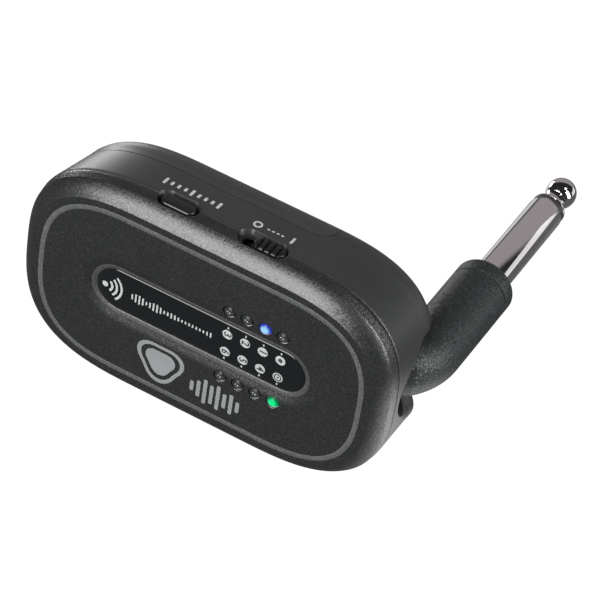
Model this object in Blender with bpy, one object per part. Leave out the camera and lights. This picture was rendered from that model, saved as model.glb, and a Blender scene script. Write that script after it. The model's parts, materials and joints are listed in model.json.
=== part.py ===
"""Wireless guitar transmitter with a fold-over 6.35 mm plug.

Every length below is in millimetres.  Positions use three local directions:
x along the long side towards the plug arm, d from the front face towards the
back, z upwards towards the controls.  The world origin is the centre of the
bottom of the bounding box.
"""
import math

import bmesh
import bpy
from mathutils import Vector

MM = 0.001

# Case outline at the front seam: superelliptic ends joined by straight sides.
CASE_HALF_LENGTH = 34.55
CASE_HALF_HEIGHT = 20.72
CASE_END_RADIUS = 24.62
CASE_END_POWER = 2.83
END_RADIUS_PER_INSET = 1.63
QUARTER_POINTS = 15
BACK_QUARTER_POINTS = 21
END_SHARE = 0.36
END_STEPS = 10

# Depths of the two seams and of the back face.
SEAM_GAP = 0.3
FRONT_SEAM = 4.41
REAR_SEAM = 11.77
REAR_SEAM_INSET = 0.63
BACK_FACE = 18.3
BACK_ROUND = 4.5
BACK_ROUND_INSET = 0.75
BACK_LEAN = 0.1
WALL = 1.7
OUTSIDE = 40.0

# Rear cover: it stops short of the hinge block.
COVER_EDGE_X = 15.3
COVER_CORNER = 3.2
CAVITY_RIGHT = 12.3
CAVITY_BACK = 16.6

# Sloping edge of the face: insets from the outline, and slopes in degrees.
EDGE_INSET = 2.6
EDGE_SIDE_INSET = 0.3
EDGE_FIRST_SLOPE = 27
EDGE_LAST_SLOPE = 64
EDGE_STEPS = 5
EDGE_FADE = ((0.24, 2.55), (0.07, 3.6))

# Hollow in the end wall round the arm.
SCOOP_START_X = 12.0
SCOOP_RUN_X = 16.0
SCOOP_START_DEPTH = 6.2
SCOOP_RUN_DEPTH = 7.0
SCOOP_HALF_WIDTH = 9.4
SCOOP_WIDENING = 0.12
SCOOP_WIDENS_FROM = 12.0
SCOOP_FADE = 5.5
SCOOP_PULL = 3.6

# Front face ring groove and window.
GROOVE_INSET = 4.48
GROOVE_WIDTH = 1.0
GROOVE_DEPTH = 0.15
WINDOW_X = 0.25
WINDOW_Z = 0.44
WINDOW_HALF_LENGTH = 20.19
WINDOW_HALF_HEIGHT = 4.63
WINDOW_FLOOR = 1.15
WINDOW_SURFACE = 0.55

# Status lights: two rows of four.
LIGHT_FIRST_X = 5.2
LIGHT_PITCH = 3.31
LIGHT_ROW = 7.22
LIGHT_RADIUS = 1.07
LIGHT_HOLE = 1.22
LIGHT_DOME = 0.28

# Top controls.
CONTROL_DEPTH = 4.41
CONTROL_FLOOR = CASE_HALF_HEIGHT - 1.1
RECESS_FLARE = 0.4
HOLE_BOTTOM = 17.0
BUTTON_TOP = CASE_HALF_HEIGHT - 0.3
KNOB_TOP = CASE_HALF_HEIGHT - 0.15
KNOB_GROOVES = 5
KNOB_GROOVE_PITCH = 0.95
KNOB_GROOVE_WIDTH = 0.4
BUTTON_X = -8.4
SLIDER_RECESS_X = 7.2
SLIDER_X = 8.5
SLIDER_TRAVEL = 2.6
FLANGE_TOP = 18.8
FLANGE_BOTTOM = 18.1
STEM_DEPTH = 5.5

# Circuit board and what sits on it.
BOARD_FRONT = 3.2
BOARD_BACK = 4.0
BOARD_INSET = 3.3
MOUNT_GAP = 0.3
CHIP_HALF = 0.8
CHIP_FRONT = 2.4
PORT_DEPTH = 6.55
PORT_HALF_LONG = 4.9
PORT_HALF_WIDE = 1.95
PORT_GAP = 0.3
SOCKET_WALL = 0.3
SOCKET_BACK_X = -25.6
SOCKET_MOUTH_X = -32.6
SOCKET_FLOOR_X = -27.5

# Case screws.
SCREW_PLACES = ((-24.0, 10.5), (-24.0, -10.5), (21.5, 12.5), (21.5, -12.5))
SCREW_TIP = 2.1
SCREW_HEAD = 16.9
SCREW_SHAFT = 0.85
SCREW_HOLE = 1.15
SCREW_HEAD_RADIUS = 1.8
SCREW_HEAD_HEIGHT = 1.1
SCREW_HEAD_HOLE = 2.1
SCREW_SOCKET = 0.75
BOARD_SCREW_HOLE = 2.25

# Plug arm: a bent tube that turns about an upright pin.
ARM_RADIUS = 5.32
HINGE_X = 20.0
HINGE_D = 11.2
PLUG_X = 32.82
BEND_RADIUS = 8.85
ARM_END = 36.1
SHOULDER = 39.7
SLOT_RADIUS = 5.75
FOLD_GAP = 0.37
KNUCKLE_HALF = 4.6
KNUCKLE_SPAN = (12.0, 24.4)
WASHER_SEAT = 5.9
WASHER_SEAT_RADIUS = 3.5
WASHER_RADIUS = 3.2
BUSHING_RADIUS = 2.2
BUSHING_SPAN = (1.95, 9.0)
PIN_RADIUS = 1.5
PIN_SPAN = (-9.5, -2.05)
PIN_CHAMFER = 0.25
PIVOT_GAP = 0.09
SOCKET_END_GAP = 0.3
BORE_RADIUS = 1.5
CABLE_RADIUS = 0.8

# Plug contact.
SLEEVE_RADIUS = 3.175
SLEEVE_BORE = 1.6
SLEEVE_STEM = 2.5
SLEEVE_BACK = 31.5
SLEEVE_STEP = 36.7
POCKET_RADIUS = 2.8
POCKET_BACK = 31.0
RING_RADIUS = 3.02
RING_LENGTH = 0.95
TIP_ROD_RADIUS = 0.95
SLEEVE_END = 62.0
TIP_END = 71.1

ORIGIN_X = (PLUG_X + ARM_RADIUS - CASE_HALF_LENGTH) / 2
ORIGIN_D = (TIP_END - LIGHT_DOME) / 2
ORIGIN_Z = -CASE_HALF_HEIGHT


def world(x, d, z):
    """Local millimetres to world metres."""
    return Vector(((x - ORIGIN_X) * MM, (d - ORIGIN_D) * MM, (z - ORIGIN_Z) * MM))


def clear_scene():
    for thing in list(bpy.data.objects):
        bpy.data.objects.remove(thing, do_unlink=True)


# ---------------------------------------------------------------- materials

def material(name, colour, roughness, metallic=0.0):
    mat = bpy.data.materials.new(name)
    mat.use_nodes = True
    shader = mat.node_tree.nodes["Principled BSDF"]
    shader.inputs["Base Color"].default_value = (*colour, 1.0)
    shader.inputs["Roughness"].default_value = roughness
    shader.inputs["Metallic"].default_value = metallic
    return mat


# ---------------------------------------------------------------- meshes

def add_object(name, points, faces, mat, smooth_angle=35, pivot=None):
    """Make one object from local points; its origin sits on the pivot."""
    anchor = world(*pivot) if pivot else Vector((0, 0, 0))
    mesh = bpy.data.meshes.new(name)
    mesh.from_pydata([world(*p) - anchor for p in points], [], faces)
    form = bmesh.new()
    form.from_mesh(mesh)
    bmesh.ops.recalc_face_normals(form, faces=form.faces)
    if form.calc_volume(signed=True) < 0:
        bmesh.ops.reverse_faces(form, faces=form.faces)
    form.to_mesh(mesh)
    form.free()
    thing = bpy.data.objects.new(name, mesh)
    thing.location = anchor
    bpy.context.scene.collection.objects.link(thing)
    if mat:
        mesh.materials.append(mat)
        mesh.shade_smooth()
        mesh.set_sharp_from_angle(angle=math.radians(smooth_angle))
    return thing


def loft_data(loops):
    """Skin a run of equal loops and close both ends."""
    count = len(loops[0])
    points = [p for loop in loops for p in loop]
    faces = []
    for row in range(len(loops) - 1):
        for k in range(count):
            after = (k + 1) % count
            low = row * count
            high = low + count
            faces.append((low + k, low + after, high + after, high + k))
    faces.append(tuple(reversed(range(count))))
    last = (len(loops) - 1) * count
    faces.append(tuple(range(last, last + count)))
    return points, faces


def merge(parts):
    """Several separate solids in one list of points and faces."""
    points = []
    faces = []
    for part_points, part_faces in parts:
        base = len(points)
        points.extend(part_points)
        faces.extend(tuple(base + k for k in face) for face in part_faces)
    return points, faces


def loft(name, loops, mat, smooth_angle=35, pivot=None):
    points, faces = loft_data(loops)
    return add_object(name, points, faces, mat, smooth_angle, pivot)


def lathe_data(profile, centre, axis, sides):
    """Turn (radius, distance) pairs about an axis; the ends lie on it or are closed flat."""
    loops = []
    for radius, along in profile:
        loop = []
        for k in range(sides):
            turn = 2 * math.pi * k / sides
            u = radius * math.cos(turn)
            v = radius * math.sin(turn)
            if axis == "d":
                loop.append((centre[0] + u, along, centre[2] + v))
            elif axis == "z":
                loop.append((centre[0] + u, centre[1] + v, along))
            else:
                loop.append((along, centre[1] + u, centre[2] + v))
        loops.append(loop)
    return loops


def lathe(name, profile, centre, axis, sides, mat, pivot=None):
    return loft(name, lathe_data(profile, centre, axis, sides), mat, pivot=pivot)


def tube_lathe(name, profile, centre, axis, sides, mat):
    """Turn a closed (radius, distance) outline into a ring."""
    loops = lathe_data(profile, centre, axis, sides)
    count = sides
    points = [p for loop in loops for p in loop]
    faces = []
    rows = len(loops)
    for row in range(rows):
        low = row * count
        high = ((row + 1) % rows) * count
        for k in range(count):
            after = (k + 1) % count
            faces.append((low + k, low + after, high + after, high + k))
    return add_object(name, points, faces, mat)


def box_data(x, d, z):
    """A box from three (low, high) pairs."""
    near = [(x[0], d[0], z[0]), (x[1], d[0], z[0]), (x[1], d[0], z[1]), (x[0], d[0], z[1])]
    far = [(px, d[1], pz) for px, _, pz in near]
    return loft_data([near, far])


def bevelled_box(name, x, d, z, mat, bevel=0.3):
    points, faces = box_data(x, d, z)
    thing = add_object(name, points, faces, mat)
    edge = thing.modifiers.new("edges", "BEVEL")
    edge.width = bevel * MM
    edge.segments = 2
    return thing


def cutter(name, points, faces):
    thing = add_object(name, points, faces, None)
    thing.hide_render = True
    thing.display_type = "WIRE"
    return thing


def split_evenly(thing):
    """Cut each four-sided face along its shorter diagonal, so that hollows mirror well."""
    step = thing.modifiers.new("split", "TRIANGULATE")
    step.quad_method = "SHORTEST_DIAGONAL"


def combine(target, tool, operation="DIFFERENCE"):
    step = target.modifiers.new(tool.name, "BOOLEAN")
    step.operation = operation
    step.object = tool
    step.solver = "EXACT"


# ---------------------------------------------------------------- outlines

def even_shares(count):
    return [step / (count - 1) for step in range(count)]


def end_shares():
    """Finer steps where the end wall is scooped out round the arm."""
    fine = [END_SHARE * step / END_STEPS for step in range(END_STEPS)]
    rest = BACK_QUARTER_POINTS - END_STEPS
    return fine + [END_SHARE + (1 - END_SHARE) * step / (rest - 1) for step in range(rest)]


def resample(curve, shares):
    """Points at given shares of a polyline's length."""
    lengths = [0.0]
    for (x0, z0), (x1, z1) in zip(curve, curve[1:]):
        lengths.append(lengths[-1] + math.hypot(x1 - x0, z1 - z0))
    result = []
    k = 0
    for share in shares:
        goal = lengths[-1] * share
        while k < len(lengths) - 2 and lengths[k + 1] < goal:
            k += 1
        part = (goal - lengths[k]) / (lengths[k + 1] - lengths[k])
        x = curve[k][0] + part * (curve[k + 1][0] - curve[k][0])
        z = curve[k][1] + part * (curve[k + 1][1] - curve[k][1])
        result.append((x, z))
    return result


def outline(half_length, half_height, end_radius, power, shares=None):
    """Closed outline in x and z with superelliptic ends."""
    curve = []
    fine = 160
    for step in range(fine + 1):
        turn = 0.5 * math.pi * step / fine
        across = max(math.cos(turn), 0.0) ** (2 / power)
        up = math.sin(turn) ** (2 / power)
        curve.append((half_length - end_radius + end_radius * across, half_height * up))
    corner = resample(curve, shares or even_shares(QUARTER_POINTS))
    top = corner + [(-x, z) for x, z in reversed(corner)]
    return top + [(-x, -z) for x, z in corner[1:]] + [(x, -z) for x, z in reversed(corner[1:])]


def case_loop(inset, d, x_limit=None, shares=None):
    """The case outline moved inwards, at one depth."""
    loop = outline(CASE_HALF_LENGTH - inset, CASE_HALF_HEIGHT - inset,
                   CASE_END_RADIUS - END_RADIUS_PER_INSET * inset, CASE_END_POWER, shares)
    if x_limit is not None:
        loop = [(min(x, x_limit), z) for x, z in loop]
    return [(x, d, z) for x, z in loop]


def window_loop(grow, d):
    half_height = WINDOW_HALF_HEIGHT + grow
    loop = outline(WINDOW_HALF_LENGTH + grow, half_height, half_height, 2.0)
    return [(x + WINDOW_X, d, z + WINDOW_Z) for x, z in loop]


def pill_loop(centre, half_long, half_wide, height, sides=6):
    """A pill lying in the x-d plane at one height."""
    loop = outline(half_long, half_wide, half_wide, 2.0, even_shares(sides))
    return [(x + centre[0], y + centre[1], height) for x, y in loop]


def pill_prism(centre, half_long, half_wide, low, high, grow=0.0):
    return loft_data([pill_loop(centre, half_long, half_wide, low),
                      pill_loop(centre, half_long + grow, half_wide + grow, high)])


def cylinder_data(centre, axis, low, high, radius, sides=28):
    return loft_data(lathe_data([(radius, low), (radius, high)], centre, axis, sides))


def sweep_loops(path, radii, sides):
    """Circles carried along a path that stays in planes through neighbouring points."""
    loops = []
    normal = None
    for k, point in enumerate(path):
        before = path[max(k - 1, 0)]
        after = path[min(k + 1, len(path) - 1)]
        tangent = (Vector(after) - Vector(before)).normalized()
        if normal is None:
            normal = Vector((0, 0, 1)) if abs(tangent.z) < 0.9 else Vector((1, 0, 0))
        normal = (normal - tangent * normal.dot(tangent)).normalized()
        side = tangent.cross(normal)
        loop = []
        for n in range(sides):
            turn = 2 * math.pi * n / sides
            spoke = normal * math.cos(turn) + side * math.sin(turn)
            loop.append(tuple(Vector(point) + spoke * radii[k]))
        loops.append(loop)
    return loops


def arm_line(end_depth, steps=10):
    """Centreline of the arm from the hinge axis to a depth on the plug axis."""
    path = [(HINGE_X, HINGE_D, 0.0)]
    start = PLUG_X - BEND_RADIUS
    path.append(((HINGE_X + start) / 2, HINGE_D, 0.0))
    for k in range(steps + 1):
        turn = 0.5 * math.pi * k / steps
        x = start + BEND_RADIUS * math.sin(turn)
        d = HINGE_D + BEND_RADIUS * (1 - math.cos(turn))
        path.append((x, d, 0.0))
    path.append((PLUG_X, end_depth, 0.0))
    return path


# ---------------------------------------------------------------- shared cutters

def control_cutters():
    """Recesses and holes for the button and the slider, shared by both shells."""
    button = (BUTTON_X, CONTROL_DEPTH)
    slider = (SLIDER_RECESS_X, CONTROL_DEPTH)
    top = CASE_HALF_HEIGHT + 1.0
    above_floor = CONTROL_FLOOR + 0.4
    recess = merge([pill_prism(button, 3.75, 1.85, CONTROL_FLOOR, top, RECESS_FLARE),
                    pill_prism(slider, 4.35, 1.8, CONTROL_FLOOR, top, RECESS_FLARE)])
    through = merge([pill_prism(button, 3.5, 1.6, HOLE_BOTTOM, above_floor),
                     pill_prism(slider, 2.5, 0.95, HOLE_BOTTOM, above_floor)])
    return [cutter("control_recess_cutter", *recess), cutter("control_hole_cutter", *through)]


def boss_columns(low, high, half_long, half_wide):
    """Pill columns that reach from each screw to the nearest long wall."""
    parts = []
    for x, z in SCREW_PLACES:
        reach = math.copysign(half_long - half_wide, z)
        loop = outline(half_long, half_wide, half_wide, 2.0, even_shares(6))
        near = [(x + b, low, z + reach + a) for a, b in loop]
        far = [(px, high, pz) for px, _, pz in near]
        parts.append(loft_data([near, far]))
    return parts


# ---------------------------------------------------------------- case

def edge_curve():
    """The face's sloping edge: a crease at the face, then a slow curve to the side wall."""
    start = math.radians(EDGE_FIRST_SLOPE)
    end = math.radians(EDGE_LAST_SLOPE)
    scale = (EDGE_INSET - EDGE_SIDE_INSET) / (math.sin(end) - math.sin(start))
    points = []
    for k in range(EDGE_STEPS + 1):
        slope = start + (end - start) * k / EDGE_STEPS
        points.append((EDGE_INSET - scale * (math.sin(slope) - math.sin(start)),
                       scale * (math.cos(start) - math.cos(slope))))
    return points


def front_shell(mat, control_tools):
    inner_groove = GROOVE_INSET + GROOVE_WIDTH / 2
    outer_groove = GROOVE_INSET - GROOVE_WIDTH / 2
    edge = FRONT_SEAM - SEAM_GAP / 2
    loops = [window_loop(-0.55, WINDOW_FLOOR), window_loop(-0.5, 0.62), window_loop(0.35, 0.36),
             window_loop(0.5, 0.4), window_loop(1.2, 0.17), window_loop(2.0, 0.0)]
    face = [(inner_groove, 0.0), (inner_groove - 0.08, GROOVE_DEPTH),
            (outer_groove + 0.08, GROOVE_DEPTH), (outer_groove, 0.0)]
    face += edge_curve()
    face += [*EDGE_FADE, (0.02, edge - 0.15), (0.15, edge), (WALL, edge),
             (WALL + 0.05, 2.6), (2.75, 1.75)]
    loops += [case_loop(inset, d) for inset, d in face]
    shell = loft("front_shell", loops, mat, 28)
    posts = cutter("front_boss_tool", *merge(boss_columns(1.2, edge, 1.9, 1.9)))
    combine(shell, posts, "UNION")
    holes = []
    for x, z in SCREW_PLACES:
        holes.append(cylinder_data((x, 0, z), "d", SCREW_TIP - 0.3, edge + 1, SCREW_HOLE, 16))
    for x, z in light_places():
        holes.append(cylinder_data((x, 0, z), "d", -1.0, 3.0, LIGHT_HOLE, 16))
    combine(shell, cutter("front_hole_cutter", *merge(holes)))
    for tool in control_tools:
        combine(shell, tool)
    return shell


def light_places():
    rows = (WINDOW_Z + LIGHT_ROW, WINDOW_Z - LIGHT_ROW)
    return [(LIGHT_FIRST_X + k * LIGHT_PITCH, z) for z in rows for k in range(4)]


def smoothstep(value):
    value = min(max(value, 0.0), 1.0)
    return value * value * (3 - 2 * value)


def scoop(point):
    """Draw the end wall inwards round the arm, deeper towards the back."""
    x, d, z = point
    if d <= SCOOP_START_DEPTH or x < SCOOP_START_X:
        return point
    rise = min((d - SCOOP_START_DEPTH) / SCOOP_RUN_DEPTH, 1.0)
    half_width = SCOOP_HALF_WIDTH * math.sqrt(rise)
    half_width += SCOOP_WIDENING * max(d - SCOOP_WIDENS_FROM, 0.0)
    pull = SCOOP_PULL * smoothstep((half_width - abs(z)) / SCOOP_FADE)
    return (x - pull * smoothstep((x - SCOOP_START_X) / SCOOP_RUN_X), d, z)


def lean(point):
    """Carry the back of the case towards the arm."""
    x, d, z = point
    return (x + BACK_LEAN * (d - FRONT_SEAM), d, z)


def back_profile():
    """Inset and depth pairs from the front seam to the back face."""
    start = FRONT_SEAM + SEAM_GAP / 2
    profile = [(0.15, start), (0.03, start + 0.15)]
    for d in (5.8, 6.8, 7.8, 8.8, 9.8, 10.8, REAR_SEAM, 12.8):
        profile.append((REAR_SEAM_INSET * (d - FRONT_SEAM) / (REAR_SEAM - FRONT_SEAM), d))
    steps = 7
    for k in range(steps + 1):
        turn = 0.5 * math.pi * k / steps
        inset = BACK_ROUND_INSET + BACK_ROUND * (1 - math.cos(turn))
        profile.append((inset, BACK_FACE - BACK_ROUND + BACK_ROUND * math.sin(turn)))
    return profile


def back_half_loops():
    shares = end_shares()
    loops = []
    for inset, d in back_profile():
        loops.append([lean(scoop(p)) for p in case_loop(inset, d, shares=shares)])
    return loops


def cover_region(name, grow):
    """Everything behind the rear seam and left of the cover edge, with a rounded corner."""
    depth = REAR_SEAM + grow
    edge = COVER_EDGE_X - grow
    radius = COVER_CORNER - grow
    steps = 6
    shape = [(-OUTSIDE, depth)]
    for k in range(steps + 1):
        turn = 0.5 * math.pi * k / steps
        shape.append((edge - radius + radius * math.sin(turn), depth + radius * (1 - math.cos(turn))))
    shape += [(edge, OUTSIDE), (-OUTSIDE, OUTSIDE)]
    low = [(x, d, -OUTSIDE) for x, d in shape]
    high = [(x, d, OUTSIDE) for x, d in shape]
    return cutter(name, *loft_data([low, high]))


def cavity_tool():
    levels = [(WALL, 3.0), (WALL + 0.1, 6.0), (2.35, REAR_SEAM), (2.6, 13.6), (3.6, 15.3),
              (5.4, CAVITY_BACK)]
    loops = [[lean(p) for p in case_loop(inset, d, CAVITY_RIGHT)] for inset, d in levels]
    points, faces = loft_data(loops)
    tool = cutter("cavity_cutter", points, faces)
    columns = merge(boss_columns(0.0, 20.0, 5.0, 2.3)[:2])
    combine(tool, cutter("cavity_boss_tool", *columns))
    return tool


def slot_tool():
    """Round-bottomed slot, open to the back and to the end, with a ball-shaped inner end."""
    stations = [(HINGE_X - SLOT_RADIUS * math.cos(math.radians(a)),
                 SLOT_RADIUS * math.sin(math.radians(a))) for a in (6, 20, 35, 50, 65, 80, 90)]
    stations.append((HINGE_X + OUTSIDE, SLOT_RADIUS))
    steps = 16
    loops = []
    for x, radius in stations:
        loop = [(x, OUTSIDE, -radius)]
        for k in range(steps + 1):
            turn = math.pi * k / steps
            loop.append((x, HINGE_D - radius * math.sin(turn), -radius * math.cos(turn)))
        loop.append((x, OUTSIDE, radius))
        loops.append(loop)
    return cutter("hinge_slot_cutter", *loft_data(loops))


def fold_tool():
    """Room round the back edge of the slot for the arm's bend when it is folded."""
    x = HINGE_X - BEND_RADIUS
    d = HINGE_D + PLUG_X - BEND_RADIUS - HINGE_X
    path = [(HINGE_X, d - 1.0, 0.0)]
    steps = 9
    for k in range(steps + 1):
        turn = 0.5 * math.pi * k / steps
        path.append((x + BEND_RADIUS * math.cos(turn), d + BEND_RADIUS * math.sin(turn), 0.0))
    path.append((x - 4.0, d + BEND_RADIUS, 0.0))
    loops = sweep_loops(path, [ARM_RADIUS + FOLD_GAP] * len(path), 24)
    return cutter("fold_clearance_cutter", *loft_data(loops))


def pivot_tool():
    """Washer seats and pin sockets above and below the slot."""
    centre = (HINGE_X, HINGE_D, 0)
    bushing_hole = BUSHING_RADIUS + PIVOT_GAP
    pin_hole = PIN_RADIUS + PIVOT_GAP
    seat = WASHER_SEAT_RADIUS
    top = BUSHING_SPAN[1] + SOCKET_END_GAP
    bottom = PIN_SPAN[0] - SOCKET_END_GAP
    upper = [(seat, 4.0), (seat, WASHER_SEAT), (bushing_hole, WASHER_SEAT), (bushing_hole, top)]
    lower = [(seat, -4.0), (seat, -WASHER_SEAT), (pin_hole, -WASHER_SEAT), (pin_hole, bottom)]
    return cutter("pivot_cutter", *merge([loft_data(lathe_data(upper, centre, "z", 20)),
                                         loft_data(lathe_data(lower, centre, "z", 20))]))


def board_cable_line():
    """From the hollow bushing, forwards through the hinge block, to the board."""
    knots = [(20.0, 11.2, 4.9), (20.0, 11.2, 6.6), (20.0, 11.2, 8.4), (19.3, 10.7, 10.0),
             (17.2, 9.2, 10.9), (14.6, 7.6, 11.0), (11.6, 6.5, 10.8), (8.4, 6.0, 10.0),
             (5.6, 5.5, 8.8), (3.4, 5.2, 7.6)]
    return smooth_path(knots, 3)


def smooth_path(knots, parts):
    """Catmull-Rom points through the knots."""
    path = []
    count = len(knots)
    for k in range(count - 1):
        p0 = Vector(knots[max(k - 1, 0)])
        p1 = Vector(knots[k])
        p2 = Vector(knots[k + 1])
        p3 = Vector(knots[min(k + 2, count - 1)])
        for step in range(parts):
            t = step / parts
            value = 2 * p1 + (p2 - p0) * t + (2 * p0 - 5 * p1 + 4 * p2 - p3) * t * t
            value += (3 * p1 - p0 - 3 * p2 + p3) * t * t * t
            path.append(tuple(value * 0.5))
    path.append(knots[-1])
    return path


def screw_clearances():
    parts = []
    for x, z in SCREW_PLACES:
        seat = SCREW_HEAD - 0.25
        profile = [(SCREW_HOLE, 2.0), (SCREW_HOLE, seat), (SCREW_HEAD_HOLE, seat),
                   (SCREW_HEAD_HOLE, OUTSIDE)]
        parts.append(loft_data(lathe_data(profile, (x, 0, z), "d", 18)))
    return cutter("screw_clearance_cutter", *merge(parts))


def port_loop(x, gap):
    """Pill across the end wall; gap is its distance outside the charging socket."""
    half_long = PORT_HALF_LONG - PORT_GAP + gap
    half_wide = PORT_HALF_WIDE - PORT_GAP + gap
    loop = outline(half_long, half_wide, half_wide, 2.0, even_shares(8))
    return [(x, PORT_DEPTH + b, a) for a, b in loop]


def mid_shell(mat, control_tools, cavity, slot, fold, screws):
    shell = loft("mid_shell", back_half_loops(), mat, 32)
    split_evenly(shell)
    combine(shell, cover_region("cover_space_cutter", 0.0))
    combine(shell, cavity)
    combine(shell, slot)
    combine(shell, fold)
    combine(shell, pivot_tool())
    path = [p for p in board_cable_line() if p[0] > 10.5]
    channel = loft_data(sweep_loops(path, [CABLE_RADIUS + 0.35] * len(path), 8))
    combine(shell, cutter("cable_channel_cutter", *channel))
    combine(shell, screws)
    port = [port_loop(x, PORT_GAP) for x in (-OUTSIDE, SOCKET_BACK_X + 0.6)]
    combine(shell, cutter("charging_port_cutter", *loft_data(port)))
    for tool in control_tools:
        combine(shell, tool)
    return shell


def rear_cover(mat, cavity, slot, fold, screws):
    cover = loft("rear_cover", back_half_loops(), mat, 32)
    split_evenly(cover)
    combine(cover, cover_region("cover_keep_tool", SEAM_GAP), "INTERSECT")
    combine(cover, cavity)
    combine(cover, slot)
    combine(cover, fold)
    combine(cover, screws)
    return cover


def window_panel(mat):
    back = WINDOW_SURFACE + 0.45
    loops = [window_loop(-0.8, WINDOW_SURFACE), window_loop(-0.68, WINDOW_SURFACE + 0.1),
             window_loop(-0.68, back)]
    return loft("window_panel", loops, mat)


def light_pipes(mat):
    names = [f"light_pipe_upper_{k}" for k in range(1, 5)]
    names += [f"light_pipe_lower_{k}" for k in range(1, 5)]
    for name, (x, z) in zip(names, light_places()):
        profile = [(0.25, -LIGHT_DOME), (0.62, -0.19), (0.9, -0.02), (LIGHT_RADIUS, 0.25),
                   (LIGHT_RADIUS, 2.1)]
        lathe(name, profile, (x, 0, z), "d", 16, mat)


# ---------------------------------------------------------------- controls

def mode_button(mat):
    top = BUTTON_TOP
    cap = (BUTTON_X, CONTROL_DEPTH)
    stem = (BUTTON_X, STEM_DEPTH)
    loops = [pill_loop(cap, 2.85, 0.95, top), pill_loop(cap, 3.07, 1.17, top - 0.08),
             pill_loop(cap, 3.18, 1.28, top - 0.3), pill_loop(cap, 3.2, 1.3, FLANGE_TOP),
             pill_loop(cap, 4.0, 1.75, FLANGE_TOP), pill_loop(cap, 4.0, 1.75, FLANGE_BOTTOM),
             pill_loop(stem, 1.2, 0.6, FLANGE_BOTTOM), pill_loop(stem, 1.2, 0.6, 17.2)]
    return loft("mode_button", loops, mat, pivot=(BUTTON_X, CONTROL_DEPTH, FLANGE_BOTTOM))


def power_slider(mat):
    top = KNOB_TOP
    knob = (SLIDER_X, CONTROL_DEPTH)
    lever = (SLIDER_X, STEM_DEPTH)
    loops = [pill_loop(knob, 2.7, 1.15, top), pill_loop(knob, 2.9, 1.35, top - 0.22),
             pill_loop(knob, 2.9, 1.35, CONTROL_FLOOR + 0.3),
             pill_loop(knob, 1.0, 0.65, CONTROL_FLOOR + 0.3), pill_loop(knob, 1.0, 0.65, FLANGE_TOP),
             pill_loop(knob, 3.3, 1.6, FLANGE_TOP), pill_loop(knob, 3.3, 1.6, FLANGE_BOTTOM),
             pill_loop(lever, 0.8, 0.5, FLANGE_BOTTOM), pill_loop(lever, 0.8, 0.5, 15.8)]
    slider = loft("power_slider", loops, mat, pivot=(SLIDER_X, CONTROL_DEPTH, FLANGE_BOTTOM))
    grooves = []
    half = KNOB_GROOVE_WIDTH / 2
    for k in range(KNOB_GROOVES):
        x = SLIDER_X + (k - (KNOB_GROOVES - 1) / 2) * KNOB_GROOVE_PITCH
        grooves.append(box_data((x - half, x + half), (0.0, 9.0), (top - 0.4, top + 1.0)))
    combine(slider, cutter("slider_groove_cutter", *merge(grooves)))
    return slider


# ---------------------------------------------------------------- electronics

def main_board(mat):
    loops = [case_loop(BOARD_INSET, BOARD_FRONT), case_loop(BOARD_INSET, BOARD_BACK)]
    board = loft("main_board", loops, mat)
    holes = []
    for x, z in SCREW_PLACES:
        holes.append(cylinder_data((x, 0, z), "d", 0.0, 8.0, BOARD_SCREW_HOLE, 16))
    combine(board, cutter("board_hole_cutter", *merge(holes)))
    return board


def light_chips(mat):
    names = [f"light_chip_upper_{k}" for k in range(1, 5)]
    names += [f"light_chip_lower_{k}" for k in range(1, 5)]
    for name, (x, z) in zip(names, light_places()):
        depth = (CHIP_FRONT, BOARD_FRONT - 0.05)
        points, faces = box_data((x - CHIP_HALF, x + CHIP_HALF), depth,
                                 (z - CHIP_HALF, z + CHIP_HALF))
        add_object(name, points, faces, mat)


def mode_switch(mat):
    low = BOARD_BACK + MOUNT_GAP
    return bevelled_box("mode_switch", (BUTTON_X - 2.5, BUTTON_X + 2.5), (low, 7.0), (13.4, 16.8),
                        mat, 0.25)


def power_switch(mat):
    low = BOARD_BACK + MOUNT_GAP
    switch = bevelled_box("power_switch", (3.3, 11.1), (low, 7.2), (13.0, 16.9), mat, 0.25)
    left = SLIDER_X - SLIDER_TRAVEL - 1.2
    slot = box_data((left, SLIDER_X + 1.2), (STEM_DEPTH - 0.9, STEM_DEPTH + 0.9), (15.2, 20.0))
    combine(switch, cutter("power_switch_slot_cutter", *slot))
    return switch


def charging_socket(mat):
    loops = [port_loop(SOCKET_BACK_X, 0.0), port_loop(SOCKET_MOUTH_X, 0.0),
             port_loop(SOCKET_MOUTH_X, -SOCKET_WALL), port_loop(SOCKET_FLOOR_X, -SOCKET_WALL)]
    return loft("charging_socket", loops, mat)


def battery(cell_mat, pad_mat):
    bevelled_box("battery_cell", (-21.5, 11.2), (8.9, 15.0), (-12.6, 12.6), cell_mat, 1.0)
    bevelled_box("battery_pad", (-18.0, 8.0), (15.3, 16.3), (-10.0, 10.0), pad_mat, 0.2)


def battery_lead(mat):
    knots = [(-22.2, 11.0, 4.0), (-23.8, 10.2, 4.2), (-24.4, 8.4, 4.6), (-23.4, 6.6, 5.0),
             (-21.8, 5.4, 5.4)]
    path = smooth_path(knots, 3)
    return loft("battery_lead", sweep_loops(path, [0.7] * len(path), 8), mat)


def radio_parts(shield_mat, antenna_mat):
    low = BOARD_BACK + MOUNT_GAP
    bevelled_box("radio_shield", (-20.5, -8.5), (low, 6.6), (-12.5, -1.5), shield_mat, 0.3)
    bevelled_box("antenna_strip", (-19.5, -6.5), (low, 5.4), (-16.6, -14.4), antenna_mat, 0.15)


# ---------------------------------------------------------------- arm

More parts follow.
